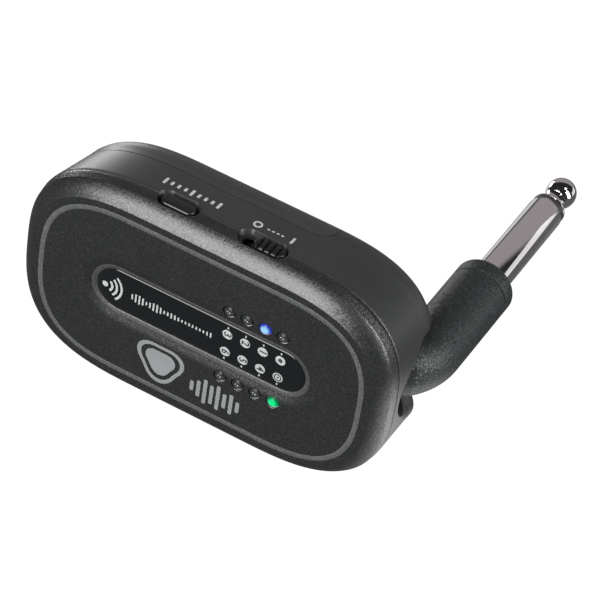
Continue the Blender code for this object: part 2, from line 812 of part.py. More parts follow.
def plug_arm(mat):
    line = arm_line(ARM_END - 0.15)
    path = []
    radii = []
    steps = 8
    for k in range(1, steps):
        turn = 0.5 * math.pi * k / steps
        path.append((HINGE_X - ARM_RADIUS * math.cos(turn), HINGE_D, 0.0))
        radii.append(ARM_RADIUS * math.sin(turn))
    path += line
    radii += [ARM_RADIUS] * len(line)
    path.append((PLUG_X, ARM_END, 0.0))
    radii.append(ARM_RADIUS - 0.12)
    arm = loft("plug_arm", sweep_loops(path, radii, 28), mat, 40, pivot=(HINGE_X, HINGE_D, 0.0))
    flats = []
    for side in (-1, 1):
        span = sorted((side * KNUCKLE_HALF, side * 8.0))
        flats.append(box_data(KNUCKLE_SPAN, (0.0, 17.0), span))
    bore = loft_data(sweep_loops(arm_line(ARM_END + 2), [BORE_RADIUS] * len(line), 12))
    combine(arm, cutter("knuckle_flat_cutter", *merge(flats)))
    combine(arm, cutter("arm_bore_cutter", *bore))
    centre = (HINGE_X, HINGE_D, 0)
    pivot = [(PIN_RADIUS + PIVOT_GAP, -7.0), (PIN_RADIUS + PIVOT_GAP, -0.4),
             (BUSHING_RADIUS + PIVOT_GAP, -0.4), (BUSHING_RADIUS + PIVOT_GAP, 7.0)]
    combine(arm, cutter("knuckle_pivot_cutter", *loft_data(lathe_data(pivot, centre, "z", 20))))
    pocket = cylinder_data((PLUG_X, 0, 0), "d", POCKET_BACK, OUTSIDE, POCKET_RADIUS)
    combine(arm, cutter("plug_pocket_cutter", *pocket))
    return arm


def arm_end_cap(mat):
    low = ARM_END + SEAM_GAP
    outer = ARM_RADIUS
    profile = [(3.45, low), (outer - 0.12, low), (outer, low + 0.15), (outer, SHOULDER - 1.0)]
    for k in range(1, 5):
        turn = 0.5 * math.pi * k / 4
        profile.append((outer - 1.0 + math.cos(turn), SHOULDER - 1.0 + math.sin(turn)))
    profile.append((3.45, SHOULDER))
    return tube_lathe("arm_end_cap", profile, (PLUG_X, 0, 0), "d", 32, mat)


def plug_contacts(metal, insulator, tip_metal):
    centre = (PLUG_X, 0, 0)
    sleeve = [(SLEEVE_BORE, SLEEVE_BACK), (SLEEVE_STEM, SLEEVE_BACK), (SLEEVE_STEM, SLEEVE_STEP),
              (SLEEVE_RADIUS, SLEEVE_STEP), (SLEEVE_RADIUS, SLEEVE_END - 0.15),
              (SLEEVE_RADIUS - 0.12, SLEEVE_END), (SLEEVE_BORE, SLEEVE_END)]
    tube_lathe("plug_sleeve", sleeve, centre, "d", 32, metal)
    front = SLEEVE_END + 0.1
    ring = [(1.2, POCKET_BACK), (1.42, POCKET_BACK), (1.42, front), (RING_RADIUS, front),
            (RING_RADIUS, front + RING_LENGTH), (1.2, front + RING_LENGTH)]
    tube_lathe("plug_insulator", ring, centre, "d", 24, insulator)
    tip = [(TIP_ROD_RADIUS, 30.5), (TIP_ROD_RADIUS, 63.2), (3.0, 63.2), (3.0, 63.55),
           (2.75, 63.75), (2.05, 64.5), (1.95, 65.1), (2.12, 65.8), (2.45, 66.7), (2.66, 67.6),
           (2.7, 68.3), (2.62, 69.1), (2.35, 69.9), (1.85, 70.5), (1.1, 70.95), (0.4, TIP_END)]
    lathe("plug_tip", tip, centre, "d", 24, tip_metal)


def arm_cable(mat):
    """From the plug, back through the bent arm, then up the hinge axis."""
    bend = CABLE_RADIUS * 2
    steps = 6
    route = [(PLUG_X, 29.8, 0.0)] + list(reversed(arm_line(21.0)[2:-1]))
    for k in range(steps + 1):
        turn = 0.5 * math.pi * k / steps
        x = HINGE_X + bend * (1 - math.sin(turn))
        route.append((x, HINGE_D, bend * (1 - math.cos(turn))))
    route.append((HINGE_X, HINGE_D, 4.5))
    return loft("arm_cable", sweep_loops(route, [CABLE_RADIUS] * len(route), 8), mat)


def hinge_parts(bushing_mat, pin_mat, washer_mat):
    centre = (HINGE_X, HINGE_D, 0)
    bore = CABLE_RADIUS + 0.35
    low, high = BUSHING_SPAN
    bushing = [(bore, low), (BUSHING_RADIUS, low), (BUSHING_RADIUS, high), (bore, high)]
    tube_lathe("hinge_bushing", bushing, centre, "z", 20, bushing_mat)
    low, high = PIN_SPAN
    nose = PIN_RADIUS - PIN_CHAMFER
    pin = [(nose, low), (PIN_RADIUS, low + PIN_CHAMFER), (PIN_RADIUS, high - PIN_CHAMFER),
           (nose, high)]
    lathe("hinge_pin", pin, centre, "z", 20, pin_mat)
    hole = BUSHING_RADIUS + PIVOT_GAP
    outer = WASHER_RADIUS
    washer = [(hole, 4.9), (outer, 4.9), (outer, 5.6), (hole, 5.6)]
    tube_lathe("friction_washer", washer, centre, "z", 20, washer_mat)
    hole = PIN_RADIUS + PIVOT_GAP
    spring = [(hole, -4.85), (outer, -5.25), (outer, -5.65), (hole, -5.25)]
    tube_lathe("spring_washer", spring, centre, "z", 20, pin_mat)


# ---------------------------------------------------------------- fasteners

def case_screw(name, x, z, mat):
    """Pan-head screw with a six-sided socket, pointing to the front."""
    sides = 12
    loops = []
    head_top = SCREW_HEAD + SCREW_HEAD_HEIGHT
    rows = [(0.3, SCREW_TIP), (SCREW_SHAFT, SCREW_TIP + 0.6), (SCREW_SHAFT, SCREW_HEAD),
            (SCREW_HEAD_RADIUS, SCREW_HEAD), (SCREW_HEAD_RADIUS, head_top - 0.35),
            (SCREW_HEAD_RADIUS - 0.3, head_top)]
    for radius, d in rows:
        loop = []
        for k in range(sides):
            turn = 2 * math.pi * k / sides
            loop.append((x + radius * math.cos(turn), d, z + radius * math.sin(turn)))
        loops.append(loop)
    for d in (head_top, SCREW_HEAD + 0.4):
        loop = []
        for k in range(sides):
            turn = 2 * math.pi * k / sides
            sixth = (turn % (math.pi / 3)) - math.pi / 6
            radius = SCREW_SOCKET / math.cos(sixth)
            loop.append((x + radius * math.cos(turn), d, z + radius * math.sin(turn)))
        loops.append(loop)
    return loft(name, loops, mat)


# ---------------------------------------------------------------- build

def build():
    clear_scene()
    front_mat = material("front_shell_plastic", (0.035, 0.037, 0.038), 0.55)
    mid_mat = material("mid_shell_plastic", (0.03, 0.031, 0.032), 0.42)
    cover_mat = material("rear_cover_plastic", (0.032, 0.033, 0.034), 0.45)
    arm_mat = material("arm_plastic", (0.036, 0.04, 0.04), 0.6)
    cap_mat = material("arm_cap_plastic", (0.036, 0.04, 0.041), 0.6)
    control_tools = control_cutters()
    cavity = cavity_tool()
    slot = slot_tool()
    fold = fold_tool()
    screws = screw_clearances()
    front_shell(front_mat, control_tools)
    mid_shell(mid_mat, control_tools, cavity, slot, fold, screws)
    rear_cover(cover_mat, cavity, slot, fold, screws)
    window_panel(material("window_gloss", (0.01, 0.012, 0.014), 0.08))
    light_pipes(material("light_pipe_clear", (0.35, 0.36, 0.36), 0.15))
    mode_button(material("button_plastic", (0.03, 0.032, 0.033), 0.4))
    power_slider(material("slider_plastic", (0.05, 0.052, 0.053), 0.45))
    main_board(material("board_laminate", (0.01, 0.06, 0.03), 0.4))
    light_chips(material("light_chip_resin", (0.8, 0.78, 0.6), 0.35))
    mode_switch(material("mode_switch_plastic", (0.02, 0.02, 0.02), 0.5))
    power_switch(material("power_switch_plastic", (0.025, 0.025, 0.025), 0.5))
    charging_socket(material("charging_socket_steel", (0.6, 0.6, 0.62), 0.3, 1.0))
    battery(material("battery_foil", (0.55, 0.56, 0.58), 0.35, 0.6),
            material("battery_pad_foam", (0.02, 0.02, 0.02), 0.95))
    battery_lead(material("battery_lead_sleeve", (0.35, 0.02, 0.02), 0.5))
    radio_parts(material("radio_shield_steel", (0.7, 0.7, 0.7), 0.3, 1.0),
                material("antenna_copper", (0.8, 0.45, 0.25), 0.35, 1.0))
    plug_arm(arm_mat)
    arm_end_cap(cap_mat)
    plug_contacts(material("plug_sleeve_chrome", (0.75, 0.75, 0.77), 0.12, 1.0),
                  material("plug_insulator_plastic", (0.01, 0.01, 0.01), 0.4),
                  material("plug_tip_chrome", (0.75, 0.75, 0.77), 0.12, 1.0))
    arm_cable(material("arm_cable_sleeve", (0.02, 0.02, 0.02), 0.6))
    line = board_cable_line()
    loft("board_cable", sweep_loops(line, [CABLE_RADIUS] * len(line), 8),
         material("board_cable_sleeve", (0.02, 0.02, 0.02), 0.6))
    hinge_parts(material("hinge_bushing_brass", (0.7, 0.5, 0.2), 0.3, 1.0),
                material("hinge_pin_steel", (0.6, 0.6, 0.6), 0.3, 1.0),
                material("friction_washer_nylon", (0.7, 0.7, 0.66), 0.5))
    screw_mat = material("screw_steel", (0.1, 0.1, 0.1), 0.35, 1.0)
    for k, (x, z) in enumerate(SCREW_PLACES, 1):
        case_screw(f"case_screw_{k}", x, z, screw_mat)


build()
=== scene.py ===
"""Looks for the wireless guitar transmitter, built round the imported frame.

Lengths in this script are millimetres.  Positions use three local directions:
x along the case's long side towards the plug arm, d from the front face
towards the back, z upwards towards the controls; place() turns them into
metres in the frame.
"""
import json
import math

import bmesh
import bpy
from mathutils import Matrix, Vector


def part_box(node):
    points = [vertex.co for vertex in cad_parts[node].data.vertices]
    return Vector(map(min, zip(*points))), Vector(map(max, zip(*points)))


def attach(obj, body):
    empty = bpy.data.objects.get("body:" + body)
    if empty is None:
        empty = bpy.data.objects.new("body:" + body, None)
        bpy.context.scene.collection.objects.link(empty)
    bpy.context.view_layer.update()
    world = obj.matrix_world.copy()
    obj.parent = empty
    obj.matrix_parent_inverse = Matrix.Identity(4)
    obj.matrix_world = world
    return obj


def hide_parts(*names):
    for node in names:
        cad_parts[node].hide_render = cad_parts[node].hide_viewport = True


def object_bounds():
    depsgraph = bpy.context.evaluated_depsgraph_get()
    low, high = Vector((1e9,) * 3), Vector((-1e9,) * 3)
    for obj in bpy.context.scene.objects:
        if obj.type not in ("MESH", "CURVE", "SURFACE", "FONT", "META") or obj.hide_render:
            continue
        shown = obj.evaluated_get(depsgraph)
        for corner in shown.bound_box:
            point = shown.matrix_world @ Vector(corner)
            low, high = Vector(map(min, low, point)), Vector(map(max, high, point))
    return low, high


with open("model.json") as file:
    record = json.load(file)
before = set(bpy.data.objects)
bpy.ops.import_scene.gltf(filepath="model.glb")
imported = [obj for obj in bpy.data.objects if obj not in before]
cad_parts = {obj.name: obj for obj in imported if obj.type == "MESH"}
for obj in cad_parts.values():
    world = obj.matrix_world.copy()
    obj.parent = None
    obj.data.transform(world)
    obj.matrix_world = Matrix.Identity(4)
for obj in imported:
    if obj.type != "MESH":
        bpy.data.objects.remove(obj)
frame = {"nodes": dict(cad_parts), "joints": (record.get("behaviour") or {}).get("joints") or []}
CAD_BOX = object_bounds()

MM = 0.001

# ---- places from the frame

FACE_LOW, FACE_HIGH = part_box("front_shell")
CASE_X = (FACE_LOW.x + FACE_HIGH.x) / 2
FRONT_Y = FACE_LOW.y
CASE_Z = (FACE_LOW.z + FACE_HIGH.z) / 2
JOINTS = {joint["name"]: joint for joint in frame["joints"]}


def place(x, d, z):
    return Vector((CASE_X + x * MM, FRONT_Y + d * MM, CASE_Z + z * MM))


def local(point):
    """Frame metres to local millimetres."""
    return ((point[0] - CASE_X) / MM, (point[1] - FRONT_Y) / MM, (point[2] - CASE_Z) / MM)


def node_span(node):
    low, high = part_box(node)
    return local(low), local(high)


HINGE_X, HINGE_D, _ = local(JOINTS["arm_hinge"]["pos_m"])
(_, CAP_LOW, _), (CAP_RIGHT, SHOULDER, CAP_TOP) = node_span("arm_end_cap")
ARM_RADIUS = CAP_TOP
PLUG_X = CAP_RIGHT - ARM_RADIUS
BACK_FACE = node_span("rear_cover")[1][1]
TIP_END = node_span("plug_tip")[1][1]

# Case outline: superelliptic ends joined by straight sides.
HALF_LENGTH = 34.55
HALF_HEIGHT = 20.72
END_RADIUS = 24.62
END_POWER = 2.83
END_RADIUS_PER_INSET = 1.63
QUARTER_POINTS = 49

# Depths.
FRONT_SEAM = 4.41
REAR_SEAM = 11.77
REAR_SEAM_INSET = 0.63
SEAM_GAP = 0.13
BACK_ROUND = 4.5
BACK_ROUND_INSET = 0.75
BACK_LEAN = 0.1
WALL = 1.7
COVER_EDGE_X = 15.3
COVER_CORNER = 3.2
CAVITY_RIGHT = 12.3
OUTSIDE = 60.0

# Hollow in the end wall round the arm.
SCOOP_START_X = 12.0
SCOOP_RUN_X = 16.0
SCOOP_START_DEPTH = 6.2
SCOOP_RUN_DEPTH = 7.0
SCOOP_HALF_WIDTH = 9.4
SCOOP_WIDENING = 0.12
SCOOP_WIDENS_FROM = 12.0
SCOOP_FADE = 5.5
SCOOP_PULL = 3.6

# Hidden lips behind the seams.
LIP_OUTER = 0.35
LIP_INNER = 1.0
LIP_OVERLAP = 0.3
LIP_BITE = 0.02

# Face.
GROOVE_INSET = 4.48
GROOVE_WIDTH = 1.0
GROOVE_DEPTH = 0.15
WINDOW_X = 0.25
WINDOW_Z = 0.44
WINDOW_HALF_LENGTH = 20.19
WINDOW_HALF_HEIGHT = 4.63
WINDOW_SURFACE = 0.55

# Sloping edge of the face: insets and slopes in degrees.
EDGE_INSET = 2.6
EDGE_SIDE_INSET = 0.3
EDGE_FIRST_SLOPE = 27
EDGE_LAST_SLOPE = 64
EDGE_STEPS = 12
EDGE_FADE = ((0.265, 2.43), (0.24, 2.54), (0.22, 2.7), (0.16, 3.15), (0.07, 3.7))

# Light domes and badges in the window.
LIGHT_FIRST_X = 5.2
LIGHT_PITCH = 3.31
LIGHT_ROW = 7.22
LIGHT_RADIUS = 1.1
LIGHT_HOLE = 1.2
LIGHT_DOME = 0.27
LIGHT_SEAT = 0.3
BADGE_ROW = 1.89
BADGE_RADIUS = 0.92

# Controls.
CONTROL_DEPTH = 4.41
CONTROL_FLOOR = HALF_HEIGHT - 1.1
HOLE_BOTTOM = 17.0
BUTTON_X = -8.4
BUTTON_TOP = HALF_HEIGHT - 0.3
SLIDER_RECESS_X = 7.2
SLIDER_X = 8.5
KNOB_TOP = HALF_HEIGHT - 0.15
KNOB_GROOVES = 4
KNOB_GROOVE_PITCH = 1.15
FLANGE_TOP = 18.8
FLANGE_BOTTOM = 18.1
STEM_DEPTH = 5.5
PRINT_DEPTH = 7.95

# Openings for the screws and the charging plug.
SCREW_HOLE = 1.15
SCREW_HEAD_HOLE = 2.1
SCREW_HEAD_HEIGHT = 1.35
PORT_DEPTH = 6.55
PORT_HALF_LONG = 4.9
PORT_HALF_WIDE = 1.95

# Arm and plug.
BEND_RADIUS = 8.85
SLOT_RADIUS = 5.75
FOLD_GAP = 0.37
KNUCKLE_HALF = 4.6
KNUCKLE_SPAN = (12.0, 24.4)
COLLAR_BORE = 3.45
COLLAR_ROUND = 1.0
SLEEVE_RADIUS = 3.175
SLEEVE_END = 62.0
BALL_RADIUS = 2.7
BALL_CENTRE = 68.35
BALL_BACK_REACH = 3.0
BALL_FIRST_TURN = -46
BALL_TURN = 134
BALL_RINGS = 44

# Floor: how it shows to the camera, and what it gives the object: an even
# glow with soft brighter patches, each a place, a reach and an extra strength.
FLOOR_HALF = 3.0
FLOOR_DROP = 0.0002
FLOOR_SEEN = 1.05
FLOOR_GLOW = 0.15
FLOOR_PATCHES = (((0.053, -0.024), 0.03, 3.2), ((-0.02, 0.07), 0.075, 0.75))

# Lights: name, direction from the object, distance, width, height, brightness.
LIGHTS = (("key_softbox", (-0.184, -0.864, 0.469), 0.7, 0.48, 0.85, 12.5),
          ("side_key", (-0.56, -0.6, 0.57), 0.7, 0.25, 0.3, 6.0),
          ("right_strip", (0.93, 0.065, 0.36), 0.7, 0.16, 0.66, 24.0),
          ("top_right_box", (0.45, 0.2, 0.87), 0.7, 0.1, 0.1, 16.0),
          ("right_back_card", (0.7, 0.7, 0.03), 0.2, 0.1, 0.07, 1.0),
          ("left_back_card", (-0.79, 0.61, 0.03), 0.2, 0.09, 0.07, 6.0))

# Camera: place, right and up directions, lens and sensor.
CAMERA_PLACE = (0.159625, -0.37353, 0.37886)
CAMERA_RIGHT = (0.86143, 0.49264, 0.12348)
CAMERA_UP = (-0.41821, 0.55009, 0.72284)
CAMERA_LENS = 192.06
CAMERA_SENSOR = 36.0


# ---- material helpers

def new_material(name):
    """A new material, its nodes and the place on the object that its patterns follow."""
    mat = bpy.data.materials.new(name)
    mat.use_nodes = True
    return mat, mat.node_tree, object_place(mat.node_tree)


def put(tree, value, socket):
    """Give a node's input another node's output or a plain value."""
    if isinstance(value, bpy.types.NodeSocket):
        tree.links.new(value, socket)
    else:
        socket.default_value = value


def fill(tree, node, inputs):
    """Give a node's inputs their values, keyed by socket name."""
    for key, value in inputs.items():
        put(tree, value, node.inputs[key.replace("_", " ")])


def shade(mat, **inputs):
    """Give the material's shader its looks."""
    fill(mat.node_tree, mat.node_tree.nodes["Principled BSDF"], inputs)
    return mat


def add_node(tree, kind, settings=None, **inputs):
    """A shader node; inputs are sockets or plain values, keyed by socket name."""
    node = tree.nodes.new(kind)
    for key, value in (settings or {}).items():
        setattr(node, key, value)
    fill(tree, node, inputs)
    return node


def object_place(tree):
    return add_node(tree, "ShaderNodeTexCoord").outputs["Object"]


def ramp(tree, factor, stops):
    """Colour ramp from (position, grey or colour) pairs."""
    node = add_node(tree, "ShaderNodeValToRGB", Fac=factor)
    elements = node.color_ramp.elements
    while len(elements) < len(stops):
        elements.new(0.5)
    for element, (position, colour) in zip(elements, stops):
        if isinstance(colour, (int, float)):
            colour = (colour, colour, colour)
        element.position = position
        element.color = (*colour, 1.0)
    return node.outputs["Color"]


def noise(tree, where, scale, detail=3.0, roughness=0.5):
    node = add_node(tree, "ShaderNodeTexNoise", Vector=where, Scale=scale, Detail=detail,
                    Roughness=roughness)
    return node.outputs["Fac"]


def bump(tree, height, strength, distance):
    node = add_node(tree, "ShaderNodeBump", Height=height, Strength=strength, Distance=distance)
    return node.outputs["Normal"]


def vector_math(tree, operation, *values):
    """A vector sum, product or measure of sockets and plain vectors."""
    node = add_node(tree, "ShaderNodeVectorMath", {"operation": operation})
    for socket, value in zip(node.inputs, values):
        put(tree, value, socket)
    measured = operation in ("DISTANCE", "DOT_PRODUCT")
    return node.outputs["Value" if measured else "Vector"]


def mix_colour(tree, factor, first, second):
    node = add_node(tree, "ShaderNodeMix", {"data_type": "RGBA"})
    for key, value in ((0, factor), (6, first), (7, second)):
        put(tree, (*value, 1.0) if isinstance(value, tuple) else value, node.inputs[key])
    return node.outputs[2]


def sparkle_paint(name, dark, light, grain, flake, rough, specular, glint=1.5):
    """Charcoal paint with fine flakes, each tilted its own way; grain is their size in mm."""
    mat, tree, where = new_material(name)
    cells = add_node(tree, "ShaderNodeTexVoronoi", Vector=where, Scale=1 / (grain * MM))
    grains = noise(tree, where, 1 / (grain * 1.6 * MM), 2.0)
    cloud = noise(tree, where, 1 / (9.0 * MM), 4.0)
    spread = ramp(tree, grains, [(0.36, 0.0), (0.72, 1.0)])
    base = mix_colour(tree, spread, dark, light)
    base = mix_colour(tree, ramp(tree, cloud, [(0.3, 0.0), (0.7, 0.35)]), base,
                      tuple(0.8 * c for c in dark))
    flecks = ramp(tree, cells.outputs["Color"], [(0.72, 0.0), (0.86, 1.0)])
    base = mix_colour(tree, flecks, base, tuple(glint * c for c in light))
    gloss = ramp(tree, cells.outputs["Color"], [(0.2, rough + 0.07), (0.85, rough - 0.07)])
    tilt = vector_math(tree, "MULTIPLY_ADD", cells.outputs["Color"], (flake,) * 3,
                       (-flake / 2,) * 3)
    tilted = vector_math(tree, "ADD", bump(tree, grains, 0.5, 0.03 * MM), tilt)
    return shade(mat, Base_Color=base, Roughness=gloss, Specular_IOR_Level=specular,
                 Normal=vector_math(tree, "NORMALIZE", tilted))


def satin_plastic(name, colour, rough, specular=0.5, texture=0.25, grain=0.35, wear=0.25):
    """Moulded plastic with a fine spark-eroded texture and faint handling marks."""
    mat, tree, where = new_material(name)
    fine = noise(tree, where, 1 / (grain * MM), 3.0, 0.6)
    broad = noise(tree, where, 1 / (7.0 * MM), 4.0)
    lighter = tuple(min(1.0, c * (1 + wear)) for c in colour)
    base = mix_colour(tree, ramp(tree, broad, [(0.35, 0.0), (0.75, 1.0)]), colour, lighter)
    gloss = ramp(tree, fine, [(0.3, rough - 0.06), (0.7, rough + 0.06)])
    return shade(mat, Base_Color=base, Roughness=gloss, Specular_IOR_Level=specular,
                 Normal=bump(tree, fine, texture, 0.03 * MM))


def metal(name, colour, rough, scratch=0.1, grain=0.6, turned=None):
    """Metal with faint scratches; turned is the direction of the lathe marks."""
    mat, tree, where = new_material(name)
    if turned:
        where = add_node(tree, "ShaderNodeMapping", Vector=where, Scale=turned).outputs["Vector"]
    marks = noise(tree, where, 1 / (grain * MM), 5.0, 0.65)
    gloss = ramp(tree, marks, [(0.3, max(rough - 0.03, 0.02)), (0.75, rough + 0.05)])
    base = mix_colour(tree, marks, colour, tuple(0.93 * c for c in colour))
    return shade(mat, Base_Color=base, Roughness=gloss, Metallic=1.0,
                 Normal=bump(tree, marks, scratch, 0.01 * MM))


def glossy_plastic(name, colour, rough, ripple=0.03):
    mat, tree, where = new_material(name)
    slow = noise(tree, where, 1 / (6.0 * MM), 3.0)
    gloss = ramp(tree, slow, [(0.3, rough), (0.8, rough + 0.05)])
    base = mix_colour(tree, slow, colour, tuple(0.85 * c for c in colour))
    return shade(mat, Base_Color=base, Roughness=gloss,
                 Normal=bump(tree, slow, ripple, 0.05 * MM))


def offset_share(tree, where, centre):
    """The place on a light dome, in dome radii from its middle."""
    away = vector_math(tree, "SUBTRACT", where, centre)
    return vector_math(tree, "DIVIDE", away, (LIGHT_RADIUS * MM,) * 3)


def spot_mask(tree, share, spot, near, far):
    """One inside near of a spot, falling to nothing at far."""
    return ramp(tree, vector_math(tree, "DISTANCE", share, spot), [(near, 1.0), (far, 0.0)])


def painted_rim_light_mask(tree, share):
    """The lower rim, where a painted highlight stands in for the light a clear dome gathers."""
    along = vector_math(tree, "DOT_PRODUCT", share, (0.45, 0.0, -0.89))
    return ramp(tree, along, [(0.58, 0.0), (0.7, 1.0)])


def clear_dome(name, centre):
    """Clear dome painted with light and shade: painted shade for the dark hole under it, a paler
    painted patch just below its middle, a painted highlight on its lower rim and two small painted
    glints.
    """
    mat, tree, where = new_material(name)
    share = offset_share(tree, where, centre)
    slow = noise(tree, where, 1 / (0.6 * MM), 2.0)
    # painted shade: the dark hole seen through the clear dome, varied at random
    body = mix_colour(tree, slow, (0.006, 0.0065, 0.0065), (0.02, 0.0205, 0.0205))
    # painted light: a paler patch just below the middle, leaving the upper edge in painted shadow
    body = mix_colour(tree, spot_mask(tree, share, (0.1, 0.25, -0.1), 0.3, 0.8), body,
                      (0.03, 0.031, 0.031))
    # painted glints: two small bright spots for reflected lamps
    for spot in ((-0.22, 0.0, 0.28), (0.16, 0.0, 0.14)):
        body = mix_colour(tree, spot_mask(tree, share, spot, 0.04, 0.12), body, (0.45, 0.45, 0.45))
    # painted highlight: the bright lower rim
    body = mix_colour(tree, painted_rim_light_mask(tree, share), body, (0.45, 0.45, 0.45))
    return shade(mat, Base_Color=body, Roughness=ramp(tree, slow, [(0.3, 0.05), (0.8, 0.12)]),
                 Normal=bump(tree, slow, 0.05, 0.02 * MM), Specular_IOR_Level=0.12)


def lit_dome(name, centre, core, edge, rim):
    """A glowing light dome: pale in its middle, deeper in colour at its edge, with painted light in
    its rim colour along the lower rim.
    """
    mat, tree, where = new_material(name)
    share = offset_share(tree, where, centre)
    slow = noise(tree, where, 1 / (0.4 * MM), 2.0)
    glow = mix_colour(tree, spot_mask(tree, share, (0.0, 0.0, 0.0), 0.45, 0.9), edge, core)
    # painted light: the lower rim glows in the rim colour, a painted highlight on the dome
    glow = mix_colour(tree, painted_rim_light_mask(tree, share), glow, rim)
    glow = mix_colour(tree, ramp(tree, slow, [(0.3, 0.0), (0.8, 0.12)]), glow, edge)
    base = mix_colour(tree, slow, (0.001, 0.001, 0.001), (0.003, 0.003, 0.003))
    return shade(mat, Base_Color=base, Emission_Color=glow, Emission_Strength=1.0,
                 Roughness=ramp(tree, slow, [(0.3, 0.05), (0.8, 0.12)]), Specular_IOR_Level=0.1)


# ---- mesh helpers

def add_object(name, data):
    thing = bpy.data.objects.new(name, data)
    bpy.context.scene.collection.objects.link(thing)
    return thing


def make_piece(name, solid, mat=None, body=None, sharp=30):
    """An object from a solid's points and faces, smooth but for its sharp edges."""
    points, faces = solid
    mesh = bpy.data.meshes.new(name)
    mesh.from_pydata(points, [], faces)
    form = bmesh.new()
    form.from_mesh(mesh)
    bmesh.ops.recalc_face_normals(form, faces=form.faces)
    if form.calc_volume(signed=True) < 0:
        bmesh.ops.reverse_faces(form, faces=form.faces)
    form.to_mesh(mesh)
    form.free()
    mesh.shade_smooth()
    mesh.set_sharp_from_angle(angle=math.radians(sharp))
    piece = add_object(name, mesh)
    if mat:
        mesh.materials.append(mat)
    if body:
        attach(piece, body)
    return piece


def skin(loops, closed=False):
    """Faces over a run of equal loops of local points; ends are capped unless closed."""
    count = len(loops[0])
    points = [place(*p) for loop in loops for p in loop]
    faces = []
    rows = len(loops)
    for row in range(rows if closed else rows - 1):
        low = row * count
        high = ((row + 1) % rows) * count
        for k in range(count):
            after = (k + 1) % count
            faces.append((low + k, low + after, high + after, high + k))
    if not closed:
        faces.append(tuple(reversed(range(count))))
        last = (rows - 1) * count
        faces.append(tuple(range(last, last + count)))
    return points, faces


def slab(shape, low, high):
    """A solid with an outline of (x, d) pairs, between two heights."""
    return skin([[(x, d, low) for x, d in shape], [(x, d, high) for x, d in shape]])


def merge(parts):
    """Several separate solids in one list of points and faces."""
    points = []
    faces = []
    for part_points, part_faces in parts:
        base = len(points)
        points.extend(part_points)
        faces.extend(tuple(base + k for k in face) for face in part_faces)
    return points, faces


def circle(sides):
    """Cosines and sines of even turns round a circle."""
    turns = [2 * math.pi * k / sides for k in range(sides)]
    return [(math.cos(turn), math.sin(turn)) for turn in turns]


def quarter(steps, first=0):
    """Sines and cosines of even turns over a quarter circle."""
    turns = [0.5 * math.pi * k / steps for k in range(first, steps + 1)]
    return [(math.sin(turn), math.cos(turn)) for turn in turns]


def turned_loops(profile, centre, axis, sides):
    """Circles from (radius, distance) pairs about an axis through centre."""
    x, d, z = centre
    ring = circle(sides)
    if axis == "d":
        return [[(x + r * c, along, z + r * s) for c, s in ring] for r, along in profile]
    return [[(x + r * c, d + r * s, along) for c, s in ring] for r, along in profile]


def cut(target, tools, operation="DIFFERENCE"):
    """Cut tools out of a piece for good, and remove the tools."""
    made = []
    for solid in tools:
        tool = make_piece("cut_tool", solid)
        step = target.modifiers.new("cut", "BOOLEAN")
        step.operation = operation
        step.object = tool
        step.solver = "EXACT"
        made.append(tool)
    settle(target)
    for tool in made:
        bpy.data.objects.remove(tool)


def settle(target, sharp=30):
    """Make a piece's modifiers permanent."""
    graph = bpy.context.evaluated_depsgraph_get()
    mesh = bpy.data.meshes.new_from_object(target.evaluated_get(graph))
    target.modifiers.clear()
    target.data = mesh
    mesh.shade_smooth()
    mesh.set_sharp_from_angle(angle=math.radians(sharp))


def soften(target, width, angle):
    """Round a piece's sharp edges."""
    step = target.modifiers.new("soften", "BEVEL")
    step.width = width * MM
    step.segments = 2
    step.limit_method = "ANGLE"
    step.angle_limit = math.radians(angle)


def finish_shell(target, width, angle, sharp):
    """Round a shell's edges and even out the shading round them."""
    soften(target, width, angle)
    settle(target, sharp)
    step = target.modifiers.new("even_normals", "WEIGHTED_NORMAL")
    step.keep_sharp = True
    step.weight = 60


# ---- outlines

def outline(half_length, half_height, end_radius, power, quarter):
    """Closed outline in x and z with superelliptic ends, evenly spaced."""
    fine = quarter * 8
    curve = []
    for step in range(fine + 1):
        turn = 0.5 * math.pi * step / fine
        across = max(math.cos(turn), 0.0) ** (2 / power)
        up = math.sin(turn) ** (2 / power)
        curve.append((half_length - end_radius + end_radius * across, half_height * up))
    lengths = [0.0]
    for (x0, z0), (x1, z1) in zip(curve, curve[1:]):
        lengths.append(lengths[-1] + math.hypot(x1 - x0, z1 - z0))
    corner = []
    at = 0
    for k in range(quarter):
        goal = lengths[-1] * k / (quarter - 1)
        while at < fine - 1 and lengths[at + 1] < goal:
            at += 1
        part = (goal - lengths[at]) / (lengths[at + 1] - lengths[at])
        x = curve[at][0] + part * (curve[at + 1][0] - curve[at][0])
        z = curve[at][1] + part * (curve[at + 1][1] - curve[at][1])
        corner.append((x, z))
    top = corner + [(-x, z) for x, z in reversed(corner)]
    return top + [(-x, -z) for x, z in corner[1:]] + [(x, -z) for x, z in reversed(corner[1:])]


def case_loop(inset, d):
    loop = outline(HALF_LENGTH - inset, HALF_HEIGHT - inset,
                   END_RADIUS - END_RADIUS_PER_INSET * inset, END_POWER, QUARTER_POINTS)
    return [(x, d, z) for x, z in loop]


def window_loop(grow, d):
    half_height = WINDOW_HALF_HEIGHT + grow
    loop = outline(WINDOW_HALF_LENGTH + grow, half_height, half_height, 2.0, 33)
    return [(x + WINDOW_X, d, z + WINDOW_Z) for x, z in loop]


def pill_loop(centre, half_long, half_wide, height, quarter=12):
    loop = outline(half_long, half_wide, half_wide, 2.0, quarter)
    return [(x + centre[0], y + centre[1], height) for x, y in loop]


def pill(centre, half_long, half_wide, low, high, grow=0.0):
    return skin([pill_loop(centre, half_long, half_wide, low),
                 pill_loop(centre, half_long + grow, half_wide + grow, high)])


def light_places():
    rows = (WINDOW_Z + LIGHT_ROW, WINDOW_Z - LIGHT_ROW)
    return [(LIGHT_FIRST_X + k * LIGHT_PITCH, z) for z in rows for k in range(4)]


# ---- shells

